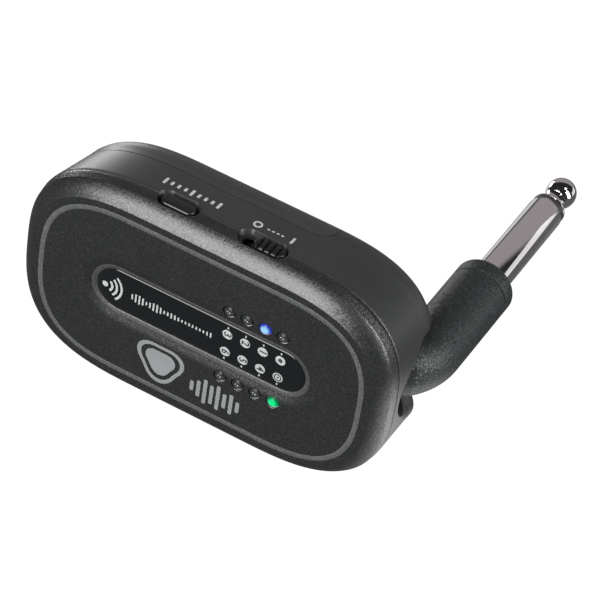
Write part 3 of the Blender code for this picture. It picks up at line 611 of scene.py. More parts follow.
def control_tools():
    button = (BUTTON_X, CONTROL_DEPTH)
    slider = (SLIDER_RECESS_X, CONTROL_DEPTH)
    top = HALF_HEIGHT + 1.0
    low = CONTROL_FLOOR + 0.4
    return [pill(button, 3.65, 1.75, CONTROL_FLOOR, top, 0.5),
            pill(slider, 4.3, 1.75, CONTROL_FLOOR, top, 0.5),
            pill(button, 3.5, 1.6, HOLE_BOTTOM, low), pill(slider, 3.6, 1.3, HOLE_BOTTOM, low)]


def edge_curve():
    """The face's sloping edge: a crease at the face, then a slow curve to the side wall."""
    points = [(EDGE_INSET + 0.1, 0.0), (EDGE_INSET, 0.0)]
    reach = EDGE_INSET - EDGE_SIDE_INSET
    start = math.radians(EDGE_FIRST_SLOPE)
    end = math.radians(EDGE_LAST_SLOPE)
    scale = reach / (math.sin(end) - math.sin(start))
    for k in range(1, EDGE_STEPS + 1):
        slope = start + (end - start) * k / EDGE_STEPS
        points.append((EDGE_INSET - scale * (math.sin(slope) - math.sin(start)),
                       scale * (math.cos(start) - math.cos(slope))))
    return points


def face_shell(mat):
    inner = GROOVE_INSET + GROOVE_WIDTH / 2
    outer = GROOVE_INSET - GROOVE_WIDTH / 2
    edge = FRONT_SEAM - SEAM_GAP / 2
    dip = [(-0.55, 1.15), (-0.5, 0.62), (0.4, 0.36), (0.5, 0.38), (0.9, 0.27), (1.3, 0.15),
           (1.7, 0.06), (2.1, 0.01), (2.4, 0.0)]
    profile = [(inner + 0.15, 0.0), (inner, 0.0), (inner - 0.05, GROOVE_DEPTH),
               (outer + 0.05, GROOVE_DEPTH), (outer, 0.0), (outer - 0.15, 0.0)]
    profile += edge_curve()
    profile += [*EDGE_FADE, (0.02, edge - 0.14), (0.05, edge - 0.05), (0.13, edge), (WALL, edge),
                (WALL + 0.05, 2.6), (2.75, 1.75)]
    window = skin([window_loop(grow, d) for grow, d in dip])
    shell = skin([case_loop(inset, d) for inset, d in profile])
    piece = make_piece("face_shell", join_face(window, shell), mat, "case",
                       26)
    hole = [(LIGHT_HOLE, 3.0), (LIGHT_HOLE, 0.08), (LIGHT_HOLE + 0.08, -0.001),
            (LIGHT_HOLE + 0.08, -1.0)]
    holes = [skin(turned_loops(hole, (x, 0, z), "d", 36)) for x, z in light_places()]
    cut(piece, [merge(holes)] + control_tools())
    finish_shell(piece, 0.12, 50, 26)
    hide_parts("front_shell")


def join_face(window, case):
    """Bridge the window's last loop to the case's first, across the flat face."""
    window_points, window_faces = window
    case_points, case_faces = case
    base = len(window_points)
    first_cap = len(case_faces) - 2
    faces = window_faces[:-1] + [tuple(base + k for k in face)
                                 for j, face in enumerate(case_faces) if j != first_cap]
    outside = [base + k for k in sorted(case_faces[first_cap])]
    faces += bridge(sorted(window_faces[-1]), outside)
    return window_points + case_points, faces


def bridge(inside, outside):
    """Triangles between two loops that both start on the right and turn the same way."""
    faces = []
    near = 0
    far = 0
    near_count = len(inside)
    far_count = len(outside)
    while near < near_count or far < far_count:
        a = inside[near % near_count]
        b = outside[far % far_count]
        step_near = (near + 1) / near_count
        step_far = (far + 1) / far_count
        if far >= far_count or (near < near_count and step_near <= step_far):
            near += 1
            faces.append((a, inside[near % near_count], b))
        else:
            far += 1
            faces.append((a, outside[far % far_count], b))
    return faces


def smoothstep(value):
    value = min(max(value, 0.0), 1.0)
    return value * value * (3 - 2 * value)


def scoop(point):
    """Draw the end wall inwards round the arm, deeper towards the back."""
    x, d, z = point
    if d <= SCOOP_START_DEPTH or x < SCOOP_START_X:
        return point
    rise = min((d - SCOOP_START_DEPTH) / SCOOP_RUN_DEPTH, 1.0)
    half_width = SCOOP_HALF_WIDTH * math.sqrt(rise)
    half_width += SCOOP_WIDENING * max(d - SCOOP_WIDENS_FROM, 0.0)
    pull = SCOOP_PULL * smoothstep((half_width - abs(z)) / SCOOP_FADE)
    return (x - pull * smoothstep((x - SCOOP_START_X) / SCOOP_RUN_X), d, z)


def lean(point):
    """Carry the back of the case towards the arm."""
    x, d, z = point
    return (x + BACK_LEAN * (d - FRONT_SEAM), d, z)


def back_half():
    start = FRONT_SEAM + SEAM_GAP / 2
    profile = [(0.14, start), (0.06, start + 0.04), (0.03, start + 0.13)]
    steps = 22
    end = BACK_FACE - BACK_ROUND
    for k in range(1, steps):
        d = start + 0.13 + (end - start - 0.13) * k / steps
        inset = REAR_SEAM_INSET * (d - FRONT_SEAM) / (REAR_SEAM - FRONT_SEAM)
        profile.append((min(inset, BACK_ROUND_INSET), d))
    profile += [(BACK_ROUND_INSET + BACK_ROUND * (1 - c), end + BACK_ROUND * s)
                for s, c in quarter(14)]
    return skin([[lean(scoop(p)) for p in case_loop(inset, d)] for inset, d in profile])


def cover_space(grow):
    """Everything behind the rear seam and left of the cover's edge."""
    depth = REAR_SEAM + grow
    edge = COVER_EDGE_X - grow
    radius = COVER_CORNER - grow
    shape = [(-OUTSIDE, depth)]
    shape += [(edge - radius + radius * s, depth + radius * (1 - c)) for s, c in quarter(16)]
    shape += [(edge, OUTSIDE), (-OUTSIDE, OUTSIDE)]
    return slab(shape, -OUTSIDE, OUTSIDE)


def cavity_space():
    """The room for the electronics."""
    levels = [(WALL, 3.0), (WALL + 0.1, 6.0), (2.35, REAR_SEAM), (2.6, 13.6), (3.6, 15.3),
              (5.4, 16.6)]
    return skin([[lean((min(x, CAVITY_RIGHT), y, z)) for x, y, z in case_loop(inset, d)]
                 for inset, d in levels])


def slot_space():
    """Round-bottomed slot with a ball-shaped inner end, open to the back and the end."""
    stations = [(HINGE_X - SLOT_RADIUS * math.cos(math.radians(a)),
                 SLOT_RADIUS * math.sin(math.radians(a)))
                for a in (4, 12, 22, 32, 42, 52, 62, 72, 82, 90)]
    stations.append((HINGE_X + 30.0, SLOT_RADIUS))
    loops = []
    for x, radius in stations:
        loop = [(x, 30.0, -radius)]
        for k in range(33):
            turn = math.pi * k / 32
            loop.append((x, HINGE_D - radius * math.sin(turn), -radius * math.cos(turn)))
        loop.append((x, 30.0, radius))
        loops.append(loop)
    return skin(loops)


def fold_space():
    """Room round the slot's back edge for the folded arm's bend."""
    x = HINGE_X - BEND_RADIUS
    d = HINGE_D + PLUG_X - BEND_RADIUS - HINGE_X
    path = [(HINGE_X, d - 1.0, 0.0)]
    path += [(x + BEND_RADIUS * c, d + BEND_RADIUS * s, 0.0) for s, c in quarter(20)]
    path.append((x - 4.0, d + BEND_RADIUS, 0.0))
    return skin(swept_loops(path, [ARM_RADIUS + FOLD_GAP] * len(path), 40))


def pivot_space():
    centre = (HINGE_X, HINGE_D, 0)
    upper = [(3.5, 4.0), (3.5, 5.9), (2.3, 5.9), (2.3, 9.3)]
    lower = [(3.5, -4.0), (3.5, -5.9), (1.6, -5.9), (1.6, -9.8)]
    return merge([skin(turned_loops(bore, centre, "z", 32)) for bore in (upper, lower)])


def screw_space():
    parts = []
    for k in range(1, 5):
        low, high = node_span(f"case_screw_{k}")
        centre = ((low[0] + high[0]) / 2, 0, (low[2] + high[2]) / 2)
        head = high[1] - SCREW_HEAD_HEIGHT
        profile = [(SCREW_HOLE, 2.0), (SCREW_HOLE, head), (SCREW_HEAD_HOLE, head),
                   (SCREW_HEAD_HOLE, 18.1), (SCREW_HEAD_HOLE + 0.1, 18.3),
                   (SCREW_HEAD_HOLE + 0.1, 22.0)]
        parts.append(skin(turned_loops(profile, centre, "d", 32)))
    return merge(parts)


def port_space():
    loops = []
    for x, grow in ((-OUTSIDE, 0.15), (-34.3, 0.15), (-33.9, 0.0), (-25.0, 0.0)):
        half_wide = PORT_HALF_WIDE + grow
        loop = outline(PORT_HALF_LONG + grow, half_wide, half_wide, 2.0, 12)
        loops.append([(x, PORT_DEPTH + v, u) for u, v in loop])
    return skin(loops)


def body_shell(mat):
    piece = make_piece("body_shell", back_half(), mat, "case")
    cut(piece, [cover_space(0.0), cavity_space(), slot_space(), fold_space(), pivot_space(),
                screw_space(), port_space()] + control_tools())
    finish_shell(piece, 0.12, 45, 30)
    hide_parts("mid_shell")


def back_cover(mat):
    piece = make_piece("back_cover", back_half(), mat, "case")
    cut(piece, [cover_space(SEAM_GAP)], "INTERSECT")
    cut(piece, [cavity_space(), slot_space(), fold_space(), screw_space()])
    finish_shell(piece, 0.12, 45, 30)
    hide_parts("rear_cover")


def cover_lip(mat):
    """The tongue that closes the seam between the body and its cover."""
    low = REAR_SEAM - LIP_OVERLAP
    high = REAR_SEAM + SEAM_GAP + LIP_OVERLAP
    corners = ((LIP_OUTER, low), (LIP_OUTER, high), (LIP_INNER, high), (LIP_INNER, low))
    loops = [[lean(p) for p in case_loop(REAR_SEAM_INSET + inset, d)] for inset, d in corners]
    piece = make_piece("cover_seam_lip", skin(loops, True), mat, "case")
    edge = COVER_EDGE_X - COVER_CORNER
    left_side = [(-OUTSIDE, 0.0), (edge, 0.0), (edge, OUTSIDE), (-OUTSIDE, OUTSIDE)]
    cut(piece, [slab(left_side, -OUTSIDE, OUTSIDE)], "INTERSECT")


# ---- face details

def ring_stripe(mat):
    """The light inlay in the groove round the face."""
    half = GROOVE_WIDTH / 2
    low = GROOVE_INSET - half
    high = GROOVE_INSET + half
    profile = [(low + 0.04, 0.13), (low + 0.04, 0.05), (low + 0.14, 0.015), (high - 0.14, 0.015),
               (high - 0.04, 0.05), (high - 0.04, 0.13)]
    ring = skin([case_loop(inset, d) for inset, d in profile], True)
    make_piece("ring_stripe", ring, mat, "case", 40)


def window_rim(mat):
    profile = [(-0.46, 0.8), (-0.46, 0.58), (-0.4, 0.52), (-0.3, 0.48), (0.2, 0.36),
               (0.36, 0.33), (0.46, 0.36), (0.4, 0.5)]
    ring = skin([window_loop(grow, d) for grow, d in profile], True)
    make_piece("window_rim", ring, mat, "case", 40)


def display_window(mat):
    profile = ((-0.52, 0.45), (-0.52, 0.08), (-0.62, 0.0), (-1.4, -0.015), (-3.0, -0.03))
    panel = skin([window_loop(grow, WINDOW_SURFACE + d) for grow, d in profile])
    piece = make_piece("display_window", panel, mat, "case", 40)
    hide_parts("window_panel")


def light_domes(lit):
    """Eight light pipes; lit maps a light's name to its glow colours."""
    names = [f"light_pipe_{row}_{k}" for row in ("upper", "lower") for k in range(1, 5)]
    profile = [(0.02, -LIGHT_DOME)]
    profile += [(LIGHT_RADIUS * s, LIGHT_SEAT - (LIGHT_DOME + LIGHT_SEAT) * c)
                for s, c in quarter(8, 1)]
    profile.append((LIGHT_RADIUS, 2.1))
    for name, (x, z) in zip(names, light_places()):
        dome = skin(turned_loops(profile, (x, 0, z), "d", 40))
        centre = place(x, -LIGHT_DOME, z)
        if name in lit:
            mat = lit_dome(name.replace("light_pipe", "glow"), centre, *lit[name])
        else:
            mat = clear_dome(name.replace("light_pipe", "bubble"), centre)
        piece = make_piece(name.replace("pipe", "dome"), dome, mat, "case", 50)
        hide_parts(name)


# ---- printed marks

def front_print(depth):
    """Maps flat (u, v) marks to the front face, u along x and v upwards."""
    return lambda u, v, lift: (u, depth - lift, v)


def top_print(u, v, lift):
    """Maps flat marks to the top side, u along x and v towards the back."""
    across = max(abs(u) - (HALF_LENGTH - END_RADIUS), 0.0) / END_RADIUS
    inset = REAR_SEAM_INSET * (v - FRONT_SEAM) / (REAR_SEAM - FRONT_SEAM)
    top = (HALF_HEIGHT - inset) * (1 - across ** END_POWER) ** (1 / END_POWER)
    return (u, v, top + lift)


def print_marks(name, shapes, surface, mat, low=-0.02, high=0.02):
    """Flat marks, each a filled outline or an (outer, inner) pair, printed on a surface."""
    parts = []
    for shape in shapes:
        ringed = isinstance(shape, tuple)
        outer, inner = shape if ringed else (shape, [])
        edges = [(outer, low), (outer, high)]
        if ringed:
            edges += [(inner, high), (inner, low)]
        loops = [[surface(u, v, lift) for u, v in edge] for edge, lift in edges]
        parts.append(skin(loops, ringed))
    make_piece(name, merge(parts), mat, "case")


def disc(u, v, radius):
    return [(u + radius * c, v + radius * s) for c, s in circle(32)]


def bar(u, v, width, height, corner=None):
    """An upright bar with round corners, centred on (u, v)."""
    corner = corner or min(width, height) * 0.3
    points = []
    for cu, cv, start in ((1, 1, 0), (-1, 1, 90), (-1, -1, 180), (1, -1, 270)):
        for k in range(5):
            turn = math.radians(start + 90 * k / 4)
            points.append((u + cu * (width / 2 - corner) + corner * math.cos(turn),
                           v + cv * (height / 2 - corner) + corner * math.sin(turn)))
    return points


def arc_band(u, v, radius, width, start, end, steps=14):
    turns = [math.radians(start + (end - start) * k / steps) for k in range(steps + 1)]
    outer, inner = ([(u + reach * math.cos(turn), v + reach * math.sin(turn)) for turn in turns]
                    for reach in (radius + width / 2, radius - width / 2))
    return outer + inner[::-1]


def pick_outline(u, v, size, sides=60):
    """A rounded guitar pick that points down."""
    points = []
    for k in range(sides):
        turn = 2 * math.pi * k / sides
        reach = size * (1 + 0.13 * math.cos(3 * (turn - math.radians(270))))
        points.append((u + reach * math.cos(turn), v + 0.95 * reach * math.sin(turn)))
    return points


def number_marks(mat):
    """Dark numerals on the badges; their tops point along +x."""
    surface = front_print(WINDOW_SURFACE - 0.03)
    rows = ((WINDOW_Z + BADGE_ROW, ("3", "2", "1")), (WINDOW_Z - BADGE_ROW, ("6", "5", "4")))
    for z, numerals in rows:
        for k, numeral in enumerate(numerals):
            x = LIGHT_FIRST_X + k * LIGHT_PITCH
            curve = bpy.data.curves.new("numeral", "FONT")
            curve.body = numeral
            curve.size = 1.95 * MM
            curve.extrude = 0.012 * MM
            curve.offset = 0.035 * MM
            curve.align_x = "CENTER"
            curve.align_y = "CENTER"
            text = add_object("numeral", curve)
            bpy.context.view_layer.update()
            graph = bpy.context.evaluated_depsgraph_get()
            mesh = bpy.data.meshes.new_from_object(text.evaluated_get(graph))
            bpy.data.objects.remove(text)
            spot = place(*surface(x, z, 0.03))
            turn = Matrix(((0, 1, 0, spot.x), (0, 0, -1, spot.y), (-1, 0, 0, spot.z), (0, 0, 0, 1)))
            mesh.transform(turn)
            mesh.materials.clear()
            mesh.materials.append(mat)
            piece = add_object(f"numeral_{numeral}", mesh)
            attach(piece, "case")


def window_marks(white, dark):
    surface = front_print(WINDOW_SURFACE - 0.03)
    badges = []
    for sign in (1, -1):
        z = WINDOW_Z + sign * BADGE_ROW
        for k in range(4):
            x = LIGHT_FIRST_X + k * LIGHT_PITCH
            badges.append(disc(x, z, BADGE_RADIUS))
            badges.append(bar(x, z + sign * 1.45, 0.3, 0.38))
    print_marks("window_badges", badges, surface, white)
    last = LIGHT_FIRST_X + 3 * LIGHT_PITCH
    upper = WINDOW_Z + BADGE_ROW
    lower = WINDOW_Z - BADGE_ROW
    inner = [disc(last, upper, 0.4), (disc(last, lower, 0.72), disc(last, lower, 0.5)),
             disc(last, lower, 0.2)]
    print_marks("window_badge_centres", inner, surface, dark, 0.0, 0.045)
    number_marks(dark)
    wave_x = -17.9
    waves = [disc(wave_x, WINDOW_Z, 0.55)]
    for radius in (1.35, 2.25, 3.15):
        waves.append(arc_band(wave_x, WINDOW_Z, radius, 0.42, -48, 48))
    print_marks("window_wave_mark", waves, surface, white)
    level = []
    for k in range(23):
        x = -12.7 + 0.68 * k
        swell = abs(math.sin(0.62 * k + 0.5)) * (0.55 + 0.45 * math.sin(0.23 * k + 0.8))
        level.append(bar(x, WINDOW_Z, 0.3, 0.5 + 1.5 * swell))
    print_marks("window_level_mark", level, surface, white)


def face_emblem(mat):
    """A plain pick and a row of sound bars."""
    surface = front_print(0.0)
    middle = (-5.9, -10.1)
    shapes = [(pick_outline(*middle, 4.3), pick_outline(*middle, 3.55)),
              pick_outline(*middle, 2.7)]
    heights = (2.2, 3.6, 5.4, 4.2, 5.4, 3.2, 4.4, 2.4)
    for k, height in enumerate(heights):
        shapes.append(bar(0.4 + 1.24 * k, -11.7, 0.72, height, 0.3))
    print_marks("face_emblem", shapes, surface, mat, -0.01, 0.015)


def control_marks(mat):
    """Tick scale by the button; off and on signs by the slider."""
    ticks = []
    for k in range(9):
        height = 1.7 if k % 4 == 0 else 1.0
        ticks.append(bar(-13.0 + 1.25 * k, PRINT_DEPTH, 0.5, height))
    signs = [(disc(4.2, PRINT_DEPTH, 0.82), disc(4.2, PRINT_DEPTH, 0.47)),
             bar(10.6, PRINT_DEPTH, 0.42, 1.7)]
    for k in range(4):
        signs.append(bar(6.2 + 0.85 * k, PRINT_DEPTH, 0.5, 0.3))
    for name, shapes in (("button_scale_mark", ticks), ("slider_sign_marks", signs)):
        print_marks(name, shapes, top_print, mat, -0.01, 0.012)


# ---- controls

def push_button(mat):
    top = BUTTON_TOP
    cap = (BUTTON_X, CONTROL_DEPTH)
    stem = (BUTTON_X, STEM_DEPTH)
    rows = [(cap, 2.3, 0.5, top + 0.03), (cap, 2.72, 0.82, top), (cap, 2.9, 1.0, top - 0.04),
            (cap, 3.05, 1.15, top - 0.14), (cap, 3.15, 1.25, top - 0.3), (cap, 3.2, 1.3, top - 0.5),
            (cap, 3.2, 1.3, FLANGE_TOP), (cap, 4.0, 1.7, FLANGE_TOP),
            (cap, 4.0, 1.7, FLANGE_BOTTOM), (stem, 1.2, 0.6, FLANGE_BOTTOM), (stem, 1.2, 0.6, 17.2)]
    button = skin([pill_loop(*row, 16) for row in rows])
    piece = make_piece("push_button", button, mat, "button", 38)
    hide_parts("mode_button")


def slide_knob(mat):
    top = KNOB_TOP
    low = CONTROL_FLOOR + 0.3
    knob = (SLIDER_X, CONTROL_DEPTH)
    lever = (SLIDER_X, STEM_DEPTH)
    rows = [(knob, 2.4, 0.85, top + 0.02), (knob, 2.65, 1.1, top - 0.05),
            (knob, 2.82, 1.27, top - 0.2), (knob, 2.9, 1.35, top - 0.4),
            (knob, 2.9, 1.35, low), (knob, 1.0, 0.65, low), (knob, 1.0, 0.65, FLANGE_TOP),
            (knob, 3.3, 1.6, FLANGE_TOP), (knob, 3.3, 1.6, FLANGE_BOTTOM),
            (lever, 0.8, 0.5, FLANGE_BOTTOM), (lever, 0.8, 0.5, 15.8)]
    solid = skin([pill_loop(*row, 16) for row in rows])
    piece = make_piece("slide_knob", solid, mat, "slider", 38)
    grooves = []
    for k in range(KNOB_GROOVES):
        x = SLIDER_X + (k - (KNOB_GROOVES - 1) / 2) * KNOB_GROOVE_PITCH
        shape = [(x - 0.36, top + 0.3), (x - 0.1, top - 0.5), (x + 0.1, top - 0.5),
                 (x + 0.36, top + 0.3)]
        grooves.append(skin([[(u, 1.0, w) for u, w in shape], [(u, 8.0, w) for u, w in shape]]))
    cut(piece, [merge(grooves)])
    soften(piece, 0.07, 40)
    settle(piece, 38)
    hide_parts("power_slider")


# ---- arm and plug

def swept_loops(path, radii, sides):
    """Circles carried along a path that lies level."""
    loops = []
    for k, point in enumerate(path):
        before = Vector(path[max(k - 1, 0)])
        after = Vector(path[min(k + 1, len(path) - 1)])
        along = (after - before).normalized()
        side = along.cross(Vector((0, 0, 1))).normalized()
        loops.append([tuple(Vector(point) + (Vector((0, 0, 1)) * c + side * s) * radii[k])
                      for c, s in circle(sides)])
    return loops


def bent_arm(mat):
    start = PLUG_X - BEND_RADIUS
    end = CAP_LOW - SEAM_GAP
    tail = HINGE_D + BEND_RADIUS
    nose = quarter(16, 1)[:-1]
    path = [(HINGE_X - ARM_RADIUS * c, HINGE_D, 0.0) for s, c in nose]
    radii = [ARM_RADIUS * s for s, c in nose]
    path += [(HINGE_X, HINGE_D, 0.0), ((HINGE_X + start) / 2, HINGE_D, 0.0)]
    path += [(start + BEND_RADIUS * s, HINGE_D + BEND_RADIUS * (1 - c), 0.0)
             for s, c in quarter(36)]
    path += [(PLUG_X, tail + (end - tail - 0.4) * k / 4, 0.0) for k in range(1, 5)]
    radii += [ARM_RADIUS] * (len(path) - len(radii))
    path += [(PLUG_X, end - 0.08, 0.0), (PLUG_X, end, 0.0)]
    radii += [ARM_RADIUS - 0.02, ARM_RADIUS - 0.1]
    piece = make_piece("bent_arm", skin(swept_loops(path, radii, 72)), mat, "arm",
                       34)
    left, right = KNUCKLE_SPAN
    shape = [(left, 0.0), (right, 0.0), (right, 17.0), (left, 17.0)]
    flats = [slab(shape, -8.0, -KNUCKLE_HALF), slab(shape, KNUCKLE_HALF, 8.0)]
    centre = (HINGE_X, HINGE_D, 0)
    pivot = [(1.6, -7.0), (1.6, -0.4), (2.3, -0.4), (2.3, 7.0)]
    pocket = [(2.8, 31.0), (2.8, 40.0)]
    cut(piece, [merge(flats), skin(turned_loops(pivot, centre, "z", 32)),
                skin(turned_loops(pocket, (PLUG_X, 0, 0), "d", 32))])
    finish_shell(piece, 0.15, 45, 34)
    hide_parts("plug_arm")


def turned_ring(name, profile, mat):
    """A ring about the plug's axis from a closed (radius, distance) outline."""
    ring = skin(turned_loops(profile, (PLUG_X, 0, 0), "d", 96), True)
    return make_piece(name, ring, mat, "arm", 35)


def arm_collar(mat):
    lip = CAP_LOW - SEAM_GAP - LIP_BITE
    bend = SHOULDER - COLLAR_ROUND
    profile = [(COLLAR_BORE, lip), (ARM_RADIUS - LIP_OUTER, lip), (ARM_RADIUS - LIP_OUTER, CAP_LOW),
               (ARM_RADIUS - 0.1, CAP_LOW), (ARM_RADIUS - 0.02, CAP_LOW + 0.06),
               (ARM_RADIUS, CAP_LOW + 0.16), (ARM_RADIUS, bend - 0.6)]
    profile += [(ARM_RADIUS - COLLAR_ROUND * (1 - c), bend + COLLAR_ROUND * s)
                for s, c in quarter(8)]
    profile += [(COLLAR_BORE + 0.15, SHOULDER), (COLLAR_BORE, SHOULDER - 0.1)]
    piece = turned_ring("arm_collar", profile, mat)
    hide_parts("arm_end_cap")


def plug_pieces(chrome, black):
    sleeve = [(1.6, 31.5), (2.5, 31.5), (2.5, 36.7), (SLEEVE_RADIUS, 36.7),
              (SLEEVE_RADIUS, SLEEVE_END - 0.22), (SLEEVE_RADIUS - 0.06, SLEEVE_END - 0.08),
              (SLEEVE_RADIUS - 0.18, SLEEVE_END), (1.6, SLEEVE_END)]
    piece = turned_ring("plug_barrel", sleeve, chrome)
    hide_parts("plug_sleeve")
    low = SLEEVE_END + 0.08
    high = SLEEVE_END + 1.02
    ring = [(1.2, 31.0), (1.42, 31.0), (1.42, low), (2.98, low), (3.06, low + 0.08),
            (3.06, high - 0.1), (2.98, high), (1.2, high)]
    piece = turned_ring("plug_black_ring", ring, black)
    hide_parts("plug_insulator")
    knots = [(0.95, 30.5), (0.95, 63.1), (2.9, 63.1), (3.04, 63.18), (3.06, 63.4), (2.98, 63.55),
             (2.72, 63.78), (2.36, 64.12), (2.08, 64.5), (1.96, 64.85), (1.95, 65.15),
             (2.03, 65.5), (2.17, 65.95)]
    for k in range(BALL_RINGS + 1):
        turn = math.radians(BALL_FIRST_TURN + BALL_TURN * k / BALL_RINGS)
        reach = TIP_END - BALL_CENTRE if turn > 0 else BALL_BACK_REACH
        knots.append((BALL_RADIUS * math.cos(turn), BALL_CENTRE + reach * math.sin(turn)))
    knots = [(max(r, 0.03), d) for r, d in knots]
    tip = skin(turned_loops(knots, (PLUG_X, 0, 0), "d", 96))
    piece = make_piece("plug_ball_tip", tip, chrome, "arm", 40)
    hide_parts("plug_tip")


# ---- inner pieces

def dress_inner_nodes():
    """Better materials on the frame's own pieces, which keep their shape."""
    board = glossy_plastic("board_green_mask", (0.012, 0.07, 0.035), 0.3, 0.3)
    resin = glossy_plastic("chip_resin", (0.75, 0.72, 0.5), 0.25)
    switch = satin_plastic("switch_black", (0.02, 0.02, 0.021), 0.45)
    socket = metal("socket_plated_steel", (0.62, 0.62, 0.64), 0.28, 0.2)
    foil = metal("battery_foil_skin", (0.6, 0.6, 0.63), 0.35, 0.6, 2.0)
    foam = satin_plastic("foam_black", (0.025, 0.025, 0.025), 0.9, 0.2, 1.0, 0.5)
    red = satin_plastic("lead_red_sleeve", (0.4, 0.02, 0.02), 0.45)
    black = satin_plastic("cable_black_sleeve", (0.02, 0.02, 0.02), 0.5)
    copper = metal("antenna_copper_skin", (0.8, 0.42, 0.24), 0.3)
    brass = metal("bushing_brass_skin", (0.75, 0.55, 0.25), 0.25, 0.2, 0.3, (1, 1, 12))
    steel = metal("pin_steel_skin", (0.6, 0.6, 0.6), 0.25, 0.2, 0.3, (1, 1, 12))
    nylon = satin_plastic("washer_nylon", (0.7, 0.7, 0.66), 0.4)
    dark_steel = metal("screw_black_steel", (0.12, 0.12, 0.125), 0.35, 0.3)
    shield = metal("shield_tinned_steel", (0.7, 0.7, 0.7), 0.3, 0.25)
    looks = {"main_board": board, "mode_switch": switch, "power_switch": switch,
             "charging_socket": socket, "battery_cell": foil, "battery_pad": foam,
             "battery_lead": red, "arm_cable": black, "board_cable": black,
             "antenna_strip": copper, "hinge_bushing": brass, "hinge_pin": steel,
             "spring_washer": steel, "friction_washer": nylon, "radio_shield": shield}
    for k in range(1, 5):
        looks[f"light_chip_upper_{k}"] = resin
        looks[f"light_chip_lower_{k}"] = resin
        looks[f"case_screw_{k}"] = dark_steel
    for name, mat in looks.items():
        frame["nodes"][name].data.materials.clear()
        frame["nodes"][name].data.materials.append(mat)


# ---- camera, floor and light

def camera():
    data = bpy.data.cameras.new("camera")
    data.lens = CAMERA_LENS
    data.sensor_width = CAMERA_SENSOR
    data.clip_start = 0.01
    thing = add_object("camera", data)
    right = Vector(CAMERA_RIGHT).normalized()
    up = Vector(CAMERA_UP)
    up = (up - right * up.dot(right)).normalized()
    back = right.cross(up)
    turn = Matrix((right, up, back)).transposed().to_4x4()
    thing.matrix_world = Matrix.Translation(CAMERA_PLACE) @ turn
    bpy.context.scene.camera = thing


def floor_glow(tree, where):
    """The light that the floor gives the object: even, with soft brighter patches."""
    glow = FLOOR_GLOW
    for (x, y), reach, extra in FLOOR_PATCHES:
        gap = vector_math(tree, "DISTANCE", where, (x, y, 0.0))
        patch = add_node(tree, "ShaderNodeMapRange", {"interpolation_type": "SMOOTHSTEP"},
                         Value=gap, From_Min=0.0, From_Max=reach, To_Min=extra, To_Max=0.0)
        total = add_node(tree, "ShaderNodeMath", {"operation": "ADD"}, Value=glow)
        tree.links.new(patch.outputs["Result"], total.inputs[1])
        glow = total.outputs[0]
    return glow


def pale_floor():
    """A plain floor, evenly white to the camera and dimmer in what the object reflects."""
    half = FLOOR_HALF
    mesh = bpy.data.meshes.new("floor")
    corners = [(-half, -half, 0), (half, -half, 0), (half, half, 0), (-half, half, 0)]
    mesh.from_pydata(corners, [], [(0, 1, 2, 3)])
    floor = add_object("floor", mesh)
    floor.location.z = CAD_BOX[0][2] - FLOOR_DROP
    mat = bpy.data.materials.new("floor_white")
    mat.use_nodes = True
    tree = mat.node_tree
    tree.nodes.clear()
    path = add_node(tree, "ShaderNodeLightPath")
    strength = add_node(tree, "ShaderNodeMix", {"data_type": "FLOAT"})
    tree.links.new(path.outputs["Is Camera Ray"], strength.inputs[0])
    tree.links.new(floor_glow(tree, object_place(tree)), strength.inputs[2])
    strength.inputs[3].default_value = FLOOR_SEEN
    glow = add_node(tree, "ShaderNodeEmission", Strength=strength.outputs[0])
    out = add_node(tree, "ShaderNodeOutputMaterial")
    tree.links.new(glow.outputs[0], out.inputs[0])
    mesh.materials.append(mat)


def softbox(name, direction, distance, width, height, radiance):
    """An area light that faces the object; radiance is its brightness."""
    data = bpy.data.lights.new(name, "AREA")
    data.shape = "RECTANGLE"
    data.size = width
    data.size_y = height
    data.energy = radiance * math.pi * width * height
    thing = add_object(name, data)
    target = Vector((0.0, 0.0, 0.02))
    away = Vector(direction).normalized()
    thing.location = target + away * distance
    thing.rotation_euler = away.to_track_quat("Z", "Y").to_euler()
    thing.visible_camera = False


def studio():
    """Dark air that brightens towards the back, and softboxes round the object."""
    scene = bpy.context.scene
    world = bpy.data.worlds.new("studio_air")
    world.use_nodes = True
    scene.world = world
    tree = world.node_tree
    background = tree.nodes["Background"]
    direction = add_node(tree, "ShaderNodeTexCoord").outputs["Generated"]
    side = vector_math(tree, "DOT_PRODUCT", direction, (-0.3, 0.95, 0.0))
    grey = ramp(tree, side, [(0.62, (0.03, 0.03, 0.031)), (0.7, (0.42, 0.385, 0.39))])
    tree.links.new(grey, background.inputs["Color"])
    scene.view_settings.view_transform = "Standard"
    for light in LIGHTS:
        softbox(*light)


# ---- build

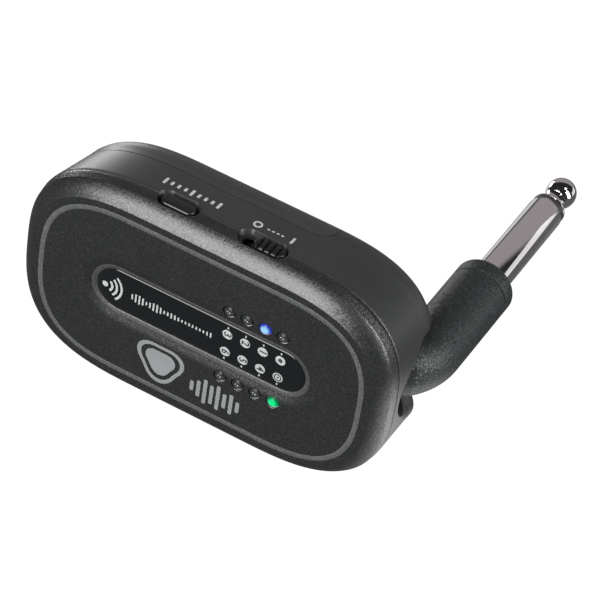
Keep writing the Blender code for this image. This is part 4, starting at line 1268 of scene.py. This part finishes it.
def build():
    camera()
    pale_floor()
    studio()
    face = sparkle_paint("face_charcoal", (0.004, 0.0043, 0.0042), (0.011, 0.0116, 0.0113), 0.17,
                         0.15, 0.36, 0.5)
    body = satin_plastic("body_charcoal", (0.010, 0.0107, 0.0105), 0.4, 0.5, 0.2, 0.3)
    cover = satin_plastic("cover_charcoal", (0.013, 0.0138, 0.0135), 0.4, 0.5, 0.2, 0.3)
    arm, collar = (sparkle_paint(name, (0.005, 0.0063, 0.0063), (0.016, 0.0195, 0.0195), 0.2, 0.35,
                                 0.46, 0.28) for name in ("arm_charcoal", "collar_charcoal"))
    stripe = sparkle_paint("stripe_grey", (0.036, 0.037, 0.0365), (0.066, 0.067, 0.0665), 0.16, 0.1,
                           0.45, 0.3, 1.1)
    rim = sparkle_paint("rim_grey", (0.018, 0.0185, 0.0183), (0.04, 0.041, 0.0405), 0.16, 0.1,
                        0.45, 0.4, 1.1)
    glass = glossy_plastic("window_black", (0.003, 0.0036, 0.004), 0.08)
    white = satin_plastic("print_white", (0.24, 0.245, 0.245), 0.5, 0.3, 0.1, 0.3, 0.05)
    dark = satin_plastic("print_dark", (0.02, 0.022, 0.024), 0.5, 0.3, 0.1)
    silver = satin_plastic("print_silver", (0.125, 0.13, 0.131), 0.4, 0.5, 0.15, 0.2, 0.15)
    chrome = metal("plug_chrome", (0.66, 0.64, 0.65), 0.07, 0.04, 1.5)
    black = satin_plastic("plug_black", (0.015, 0.015, 0.015), 0.35)
    button = satin_plastic("button_charcoal", (0.005, 0.0053, 0.0053), 0.3, 0.36, 0.12, 0.3)
    knob = satin_plastic("knob_charcoal", (0.004, 0.0043, 0.0043), 0.34, 0.25, 0.15, 0.3)
    lit = {
        # Glow colours: core, edge, and the rim colour painted as light on each lit dome's lower
        # rim.
        "light_pipe_upper_3": ((0.35, 0.72, 1.0), (0.02, 0.025, 0.45), (0.3, 0.15, 0.25)),
        "light_pipe_lower_4": ((0.005, 0.95, 0.28), (0.0, 0.16, 0.07), (0.35, 0.6, 0.5)),
    }
    face_shell(face)
    body_shell(body)
    back_cover(cover)
    cover_lip(cover)
    ring_stripe(stripe)
    window_rim(rim)
    display_window(glass)
    light_domes(lit)
    window_marks(white, dark)
    face_emblem(silver)
    control_marks(white)
    push_button(button)
    slide_knob(knob)
    bent_arm(arm)
    arm_collar(collar)
    plug_pieces(chrome, black)
    dress_inner_nodes()


build()
